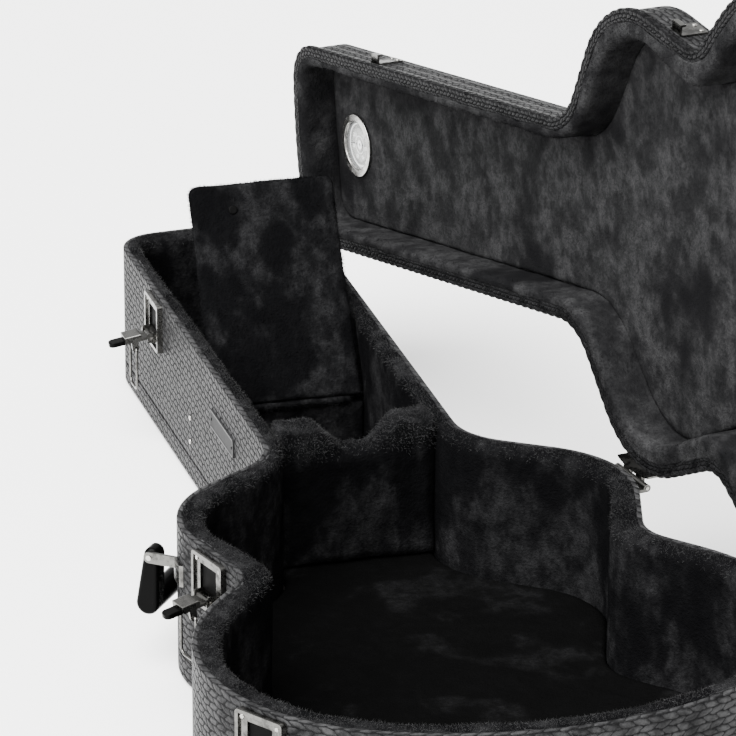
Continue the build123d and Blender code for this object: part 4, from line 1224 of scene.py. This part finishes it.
def make_pile_group():
    """Fibres on a mesh: as dense as the attribute `pile` says, leaning at random."""
    group, inputs, outputs = new_geometry_group("plush_fibres", [
        ("Density", "Float", 300000.0),
        ("Seed", "Int", 3),
        ("Fibre Length", "Float", fibre_length),
        ("Fibre Radius", "Float", fibre_radius),
        ("Lean", "Float", fibre_lean),
        ("Material", "Material", None),
    ])
    w = Wiring(group)
    given = inputs.outputs
    painted = w.add("GeometryNodeInputNamedAttribute", {"Name": "pile"}, data_type="FLOAT")
    dense = w.math("MULTIPLY", given["Density"], painted.outputs["Attribute"])
    points = w.add("GeometryNodeDistributePointsOnFaces", {
        "Mesh": given["Geometry"], "Density": dense, "Seed": given["Seed"],
    })
    lean = w.add("FunctionNodeRandomValue", {
        0: (-1.0, -1.0, -1.0), 1: (1.0, 1.0, 1.0), "Seed": given["Seed"],
    }, data_type="FLOAT_VECTOR").outputs[0]
    lean = w.add("ShaderNodeVectorMath", {0: lean, "Scale": given["Lean"]}, operation="SCALE").outputs[0]
    way = w.add("ShaderNodeVectorMath", {0: points.outputs["Normal"], 1: lean}, operation="ADD").outputs[0]
    turn = w.add("FunctionNodeAlignRotationToVector", {"Vector": way}, axis="Z").outputs[0]
    size = w.add("FunctionNodeRandomValue", {2: 0.5, 3: 1.2, "Seed": given["Seed"]}, data_type="FLOAT")
    fibre = w.add("GeometryNodeMeshCone", {
        "Vertices": 3, "Radius Top": 0.0, "Radius Bottom": given["Fibre Radius"],
        "Depth": given["Fibre Length"],
    })
    made = set_copies(
        w, given["Material"], points.outputs["Points"], fibre.outputs["Mesh"], turn, size.outputs[1]
    )
    group.links.new(made, outputs.inputs[0])
    return group


pile_group = make_pile_group()


def socket_key(group, label):
    """Identifier of a group's named input."""
    for item in group.interface.items_tree:
        if item.name == label and item.in_out == "INPUT":
            return item.identifier


def grown_from(piece, name, group, values):
    """What a Geometry Nodes group makes of a piece, as a plain mesh object of its own."""
    modifier = piece.modifiers.new(name, "NODES")
    modifier.node_group = group
    for label, value in values.items():
        modifier[socket_key(group, label)] = value
    bpy.context.view_layer.update()
    mesh = bpy.data.meshes.new_from_object(piece.evaluated_get(bpy.context.evaluated_depsgraph_get()))
    piece.modifiers.remove(modifier)
    mesh.name = name
    made = bpy.data.objects.new(name, mesh)
    scene.collection.objects.link(made)
    return made


def paint_pile(piece, amounts):
    """Store how dense the fibres stand at each point."""
    layer = piece.data.attributes.new("pile", "FLOAT", "POINT")
    layer.data.foreach_set("value", np.clip(amounts, 0, 1).astype(np.float32))


def grow_pile(piece, name, body, material, amounts, density, length=fibre_length, seed=3):
    """Cover a plush piece with fibres that ride the same body."""
    paint_pile(piece, amounts)
    fibres = grown_from(piece, name, pile_group, {
        "Density": density, "Seed": seed, "Fibre Length": length, "Fibre Radius": fibre_radius,
        "Lean": fibre_lean, "Material": material,
    })
    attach(fibres, body)
    return counted(fibres)


# The fibres near the top of the side roll use the lighter plush: painted light on the crown.
side_rise = read_rows(side_plush.data.vertices, "co")[:, 2] - base_top
grow_pile(
    side_plush, "side_pile", "base", lit_top_pile, (side_rise + 10 * MM) / (9 * MM), density=420000.0
)
lid_spots = undone(lid_turn, read_rows(lid_side_plush.data.vertices, "co"))
grow_pile(
    lid_side_plush, "lid_side_pile", "lid", lit_lid_plush,
    (lid_plush_low + 9 * MM - lid_spots[:, 2]) / (9 * MM), density=380000.0, seed=5,
)
hinge_everywhere = np.ones(len(hinge_roll.data.vertices))
grow_pile(
    hinge_roll, "hinge_pile", "base", plush, hinge_everywhere, density=700000.0, length=4.0 * MM, seed=13
)
# The fibres on the cradle's top use the lighter plush: painted light on its top.
cradle_heights = read_rows(cradle.data.vertices, "co")[:, 2]
cradle_bare_below = 0.108
cradle_full_over = 0.012
grow_pile(
    cradle, "cradle_pile", "base", lit_top_pile, (cradle_heights - cradle_bare_below) / cradle_full_over,
    density=500000.0, seed=7,
)
flap_spots = undone(flap_turn, read_rows(flap_wrap.data.vertices, "co"))
from_tip = flap_spots[:, 1] - flap_low[1]
to_edge = np.minimum(flap_half_width(from_tip) - np.abs(flap_spots[:, 0]), from_tip)
flap_amounts = 0.12 + np.clip(1 - to_edge / (5 * MM), 0, 1)
grow_pile(flap_wrap, "flap_pile", "flap", plush, flap_amounts, density=900000.0, seed=9)

# %% [markdown]
# ## The dial of the hygrometer
# The dial has a ring of fine ticks, every fifth of them longer, two thin rings, a dark ring round the
# spindle, and plain numbers for the per cent of moisture. The ticks are one small bar set round a circle
# by Geometry Nodes. They stand just in front of the dial, modelled on the shut lid and turned up with it.

# %% Print the dial
tick_count = 50
tick_radius = 16.5 * MM
tick_long = 2.2 * MM
tick_wide = 0.7 * MM
print_thick = 0.1 * MM


def make_ticks_group():
    """Bars round a circle, every fifth one longer."""
    group, inputs, outputs = new_geometry_group("dial_ticks", [
        ("Count", "Int", tick_count),
        ("Radius", "Float", tick_radius),
        ("Tick Length", "Float", tick_long),
        ("Tick Width", "Float", tick_wide),
        ("Material", "Material", None),
    ])
    w = Wiring(group)
    given = inputs.outputs
    ring = w.add("GeometryNodeMeshCircle", {"Vertices": given["Count"], "Radius": given["Radius"]})
    place = w.add("GeometryNodeInputPosition").outputs[0]
    turn = w.add("FunctionNodeAlignRotationToVector", {"Vector": place}, axis="Y").outputs[0]
    number = w.add("GeometryNodeInputIndex").outputs[0]
    fifth = w.math("LESS_THAN", w.math("MODULO", number, 5.0), 0.5)
    long = w.math("MULTIPLY_ADD", fifth, 0.9, 1.0)
    size = w.add("ShaderNodeCombineXYZ", {0: 1.0, 1: long, 2: 1.0}).outputs[0]
    shape = w.add("ShaderNodeCombineXYZ", {
        0: given["Tick Width"], 1: given["Tick Length"], 2: print_thick,
    }).outputs[0]
    bar = w.add("GeometryNodeMeshCube", {"Size": shape}).outputs["Mesh"]
    made = set_copies(w, given["Material"], ring.outputs[0], bar, turn, size)
    group.links.new(made, outputs.inputs[0])
    return group


def number_mesh(words, height, place, thick=0.08 * MM):
    """A short printed number as a solid mesh, centred on its place."""
    curve = bpy.data.curves.new("number", "FONT")
    curve.body = words
    curve.size = height
    curve.align_x = "CENTER"
    curve.align_y = "CENTER"
    curve.extrude = thick / 2
    curve.resolution_u = 2
    made = bpy.data.objects.new("number", curve)
    scene.collection.objects.link(made)
    bpy.context.view_layer.update()
    mesh = bpy.data.meshes.new_from_object(made.evaluated_get(bpy.context.evaluated_depsgraph_get()))
    mesh.transform(Matrix.Translation(place))
    bpy.data.objects.remove(made)
    return mesh


dial_low = box_when_shut("gauge_dial")[0].z
seed_mesh = bpy.data.meshes.new("ring_seed")
ring_seed = new_object("ring_seed", seed_mesh)
ticks = grown_from(ring_seed, "dial_ticks", make_ticks_group(), {
    "Count": tick_count, "Radius": tick_radius, "Tick Length": tick_long, "Tick Width": tick_wide,
    "Material": needle_black,
})
bpy.data.objects.remove(ring_seed)
print_work = bmesh.new()
print_work.from_mesh(ticks.data)


def add_ring(work, inner, outer, thick, sides=64):
    """A thin flat ring, closed all round."""
    rows = []
    for radius, height in ((inner, 0), (outer, 0), (outer, thick), (inner, thick)):
        turns = [2 * pi * k / sides for k in range(sides)]
        rows.append([work.verts.new((radius * cos(a), radius * sin(a), height)) for a in turns])
    for one, two in zip(rows, rows[1:] + rows[:1]):
        for k in range(sides):
            work.faces.new((one[k], one[(k + 1) % sides], two[(k + 1) % sides], two[k]))


for inner, outer in ((18.8 * MM, 19.8 * MM), (7.6 * MM, 8.2 * MM), (1.6 * MM, 4.2 * MM)):
    add_ring(print_work, inner, outer, print_thick)
number_radius = 12.0 * MM
for index, words in enumerate(["0", "20", "40", "60", "80", "100"]):
    angle = radians(225 - 54 * index)
    spot = Vector((number_radius * cos(angle), number_radius * sin(angle), 0))
    mesh = number_mesh(words, 5.4 * MM, spot)
    print_work.from_mesh(mesh)
    bpy.data.meshes.remove(mesh)
bmesh.ops.remove_doubles(print_work, verts=print_work.verts, dist=0.002 * MM)
bmesh.ops.recalc_face_normals(print_work, faces=print_work.faces)
print_work.to_mesh(ticks.data)
print_work.free()
ticks.name = "dial_marks"
facing_down = Matrix.Rotation(pi, 4, "X") @ Matrix.Rotation(-pi / 2, 4, "Z")
at_dial = Matrix.Translation((gauge_middle.x, gauge_middle.y, dial_low - 0.15 * MM))
ticks.data.transform(at_dial @ facing_down)
open_up(ticks)
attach(ticks, "lid")
counted(ticks)

# %% [markdown]
# ## The metal, plastic and wooden parts
# These keep their shapes from the frame. Each only needs its finish.

# %% Give the frame's own parts their finishes
latches = ("head", "waist", "lower")
latch_metal = ("latch_plate_", "latch_lever_", "latch_bail_", "keeper_")
finishes = {
    nickel: [kind + latch for kind in latch_metal for latch in latches]
    + ["handle_straps", "hinge_base_leaves", "hinge_lid_leaves"],
    dark_plate: ["name_plate"],
    pin_steel: [
        "lever_pins", "latch_rivets", "keeper_rivets", "handle_pins", "hinge_pins", "hinge_rivets",
        "lid_hinge_rivets", "wall_nails",
    ],
    dark_pin: ["name_plate_pins", "latch_backs", "flap_stud"],
    handle_plastic: ["handle_grip"] + ["latch_tab_" + latch for latch in latches],
    gauge_metal: ["gauge_bezel"],
    gauge_case: ["gauge_cup"],
    dial_white: ["gauge_dial"],
    needle_black: ["gauge_needle"],
    lens: ["gauge_lens"],
    plywood: ["side_wall", "bottom_panel", "lid_panel", "lid_wall", "flap_board"],
}
for material, names in finishes.items():
    for name in names:
        node = nodes[name]
        node.data.materials.clear()
        node.data.materials.append(material)
print("finished", sum(len(names) for names in finishes.values()), "frame parts")

# %% [markdown]
# ## Floor and light
# A pale flat floor, a white surround, a very soft sun from the left and the front, and two soft lamps,
# one to the left and one in front. As in the photo, the near wall is then the brightest side of the
# vinyl, and the lid's edge catches a long thin highlight.

# %% Lay the floor and hang the lamps
def make_floor():
    """A wide, flat, pale floor."""
    mesh = bpy.data.meshes.new("studio_floor")
    side = 14.0
    corners = [(-side, -side, 0), (side, -side, 0), (side, side, 0), (-side, side, 0)]
    mesh.from_pydata(corners, [], [(0, 1, 2, 3)])
    floor_piece = bpy.data.objects.new("studio_floor", mesh)
    scene.collection.objects.link(floor_piece)
    material = new_material("studio_floor", 0.9, Base_Color=(0.95, 0.95, 0.945, 1.0))[0]
    mesh.materials.append(material)


def make_lamp(name, spot, target, size, power):
    """A square area lamp that looks at a point."""
    data = bpy.data.lights.new(name, "AREA")
    data.shape = "RECTANGLE"
    data.size, data.size_y = size
    data.energy = power
    lamp = bpy.data.objects.new(name, data)
    scene.collection.objects.link(lamp)
    way = (Vector(target) - Vector(spot)).normalized()
    lamp.matrix_world = Matrix.Translation(spot) @ way.to_track_quat("-Z", "Y").to_matrix().to_4x4()


def make_sun(way, strength, softness):
    """A soft sun, so that the whole floor is lit evenly."""
    data = bpy.data.lights.new("studio_sun", "SUN")
    data.energy = strength
    data.angle = softness
    lamp = bpy.data.objects.new("studio_sun", data)
    scene.collection.objects.link(lamp)
    lamp.matrix_world = Vector(way).to_track_quat("-Z", "Y").to_matrix().to_4x4()


make_floor()
make_sun((0.45, 0.3, -1.0), 13.0, radians(60))
make_lamp("left_soft", (-2.6, -0.9, 1.6), (0, 0, 0.1), (1.4, 1.0), 110)
make_lamp("front_soft", (-0.4, -3.4, 2.4), (0, 0, 0.2), (1.2, 0.8), 50)
world = bpy.data.worlds.new("white_room")
world.use_nodes = True
world.node_tree.nodes["Background"].inputs["Color"].default_value = (1.0, 1.0, 1.0, 1.0)
world.node_tree.nodes["Background"].inputs["Strength"].default_value = 1.2
scene.world = world
print("lamps:", len(bpy.data.lights))
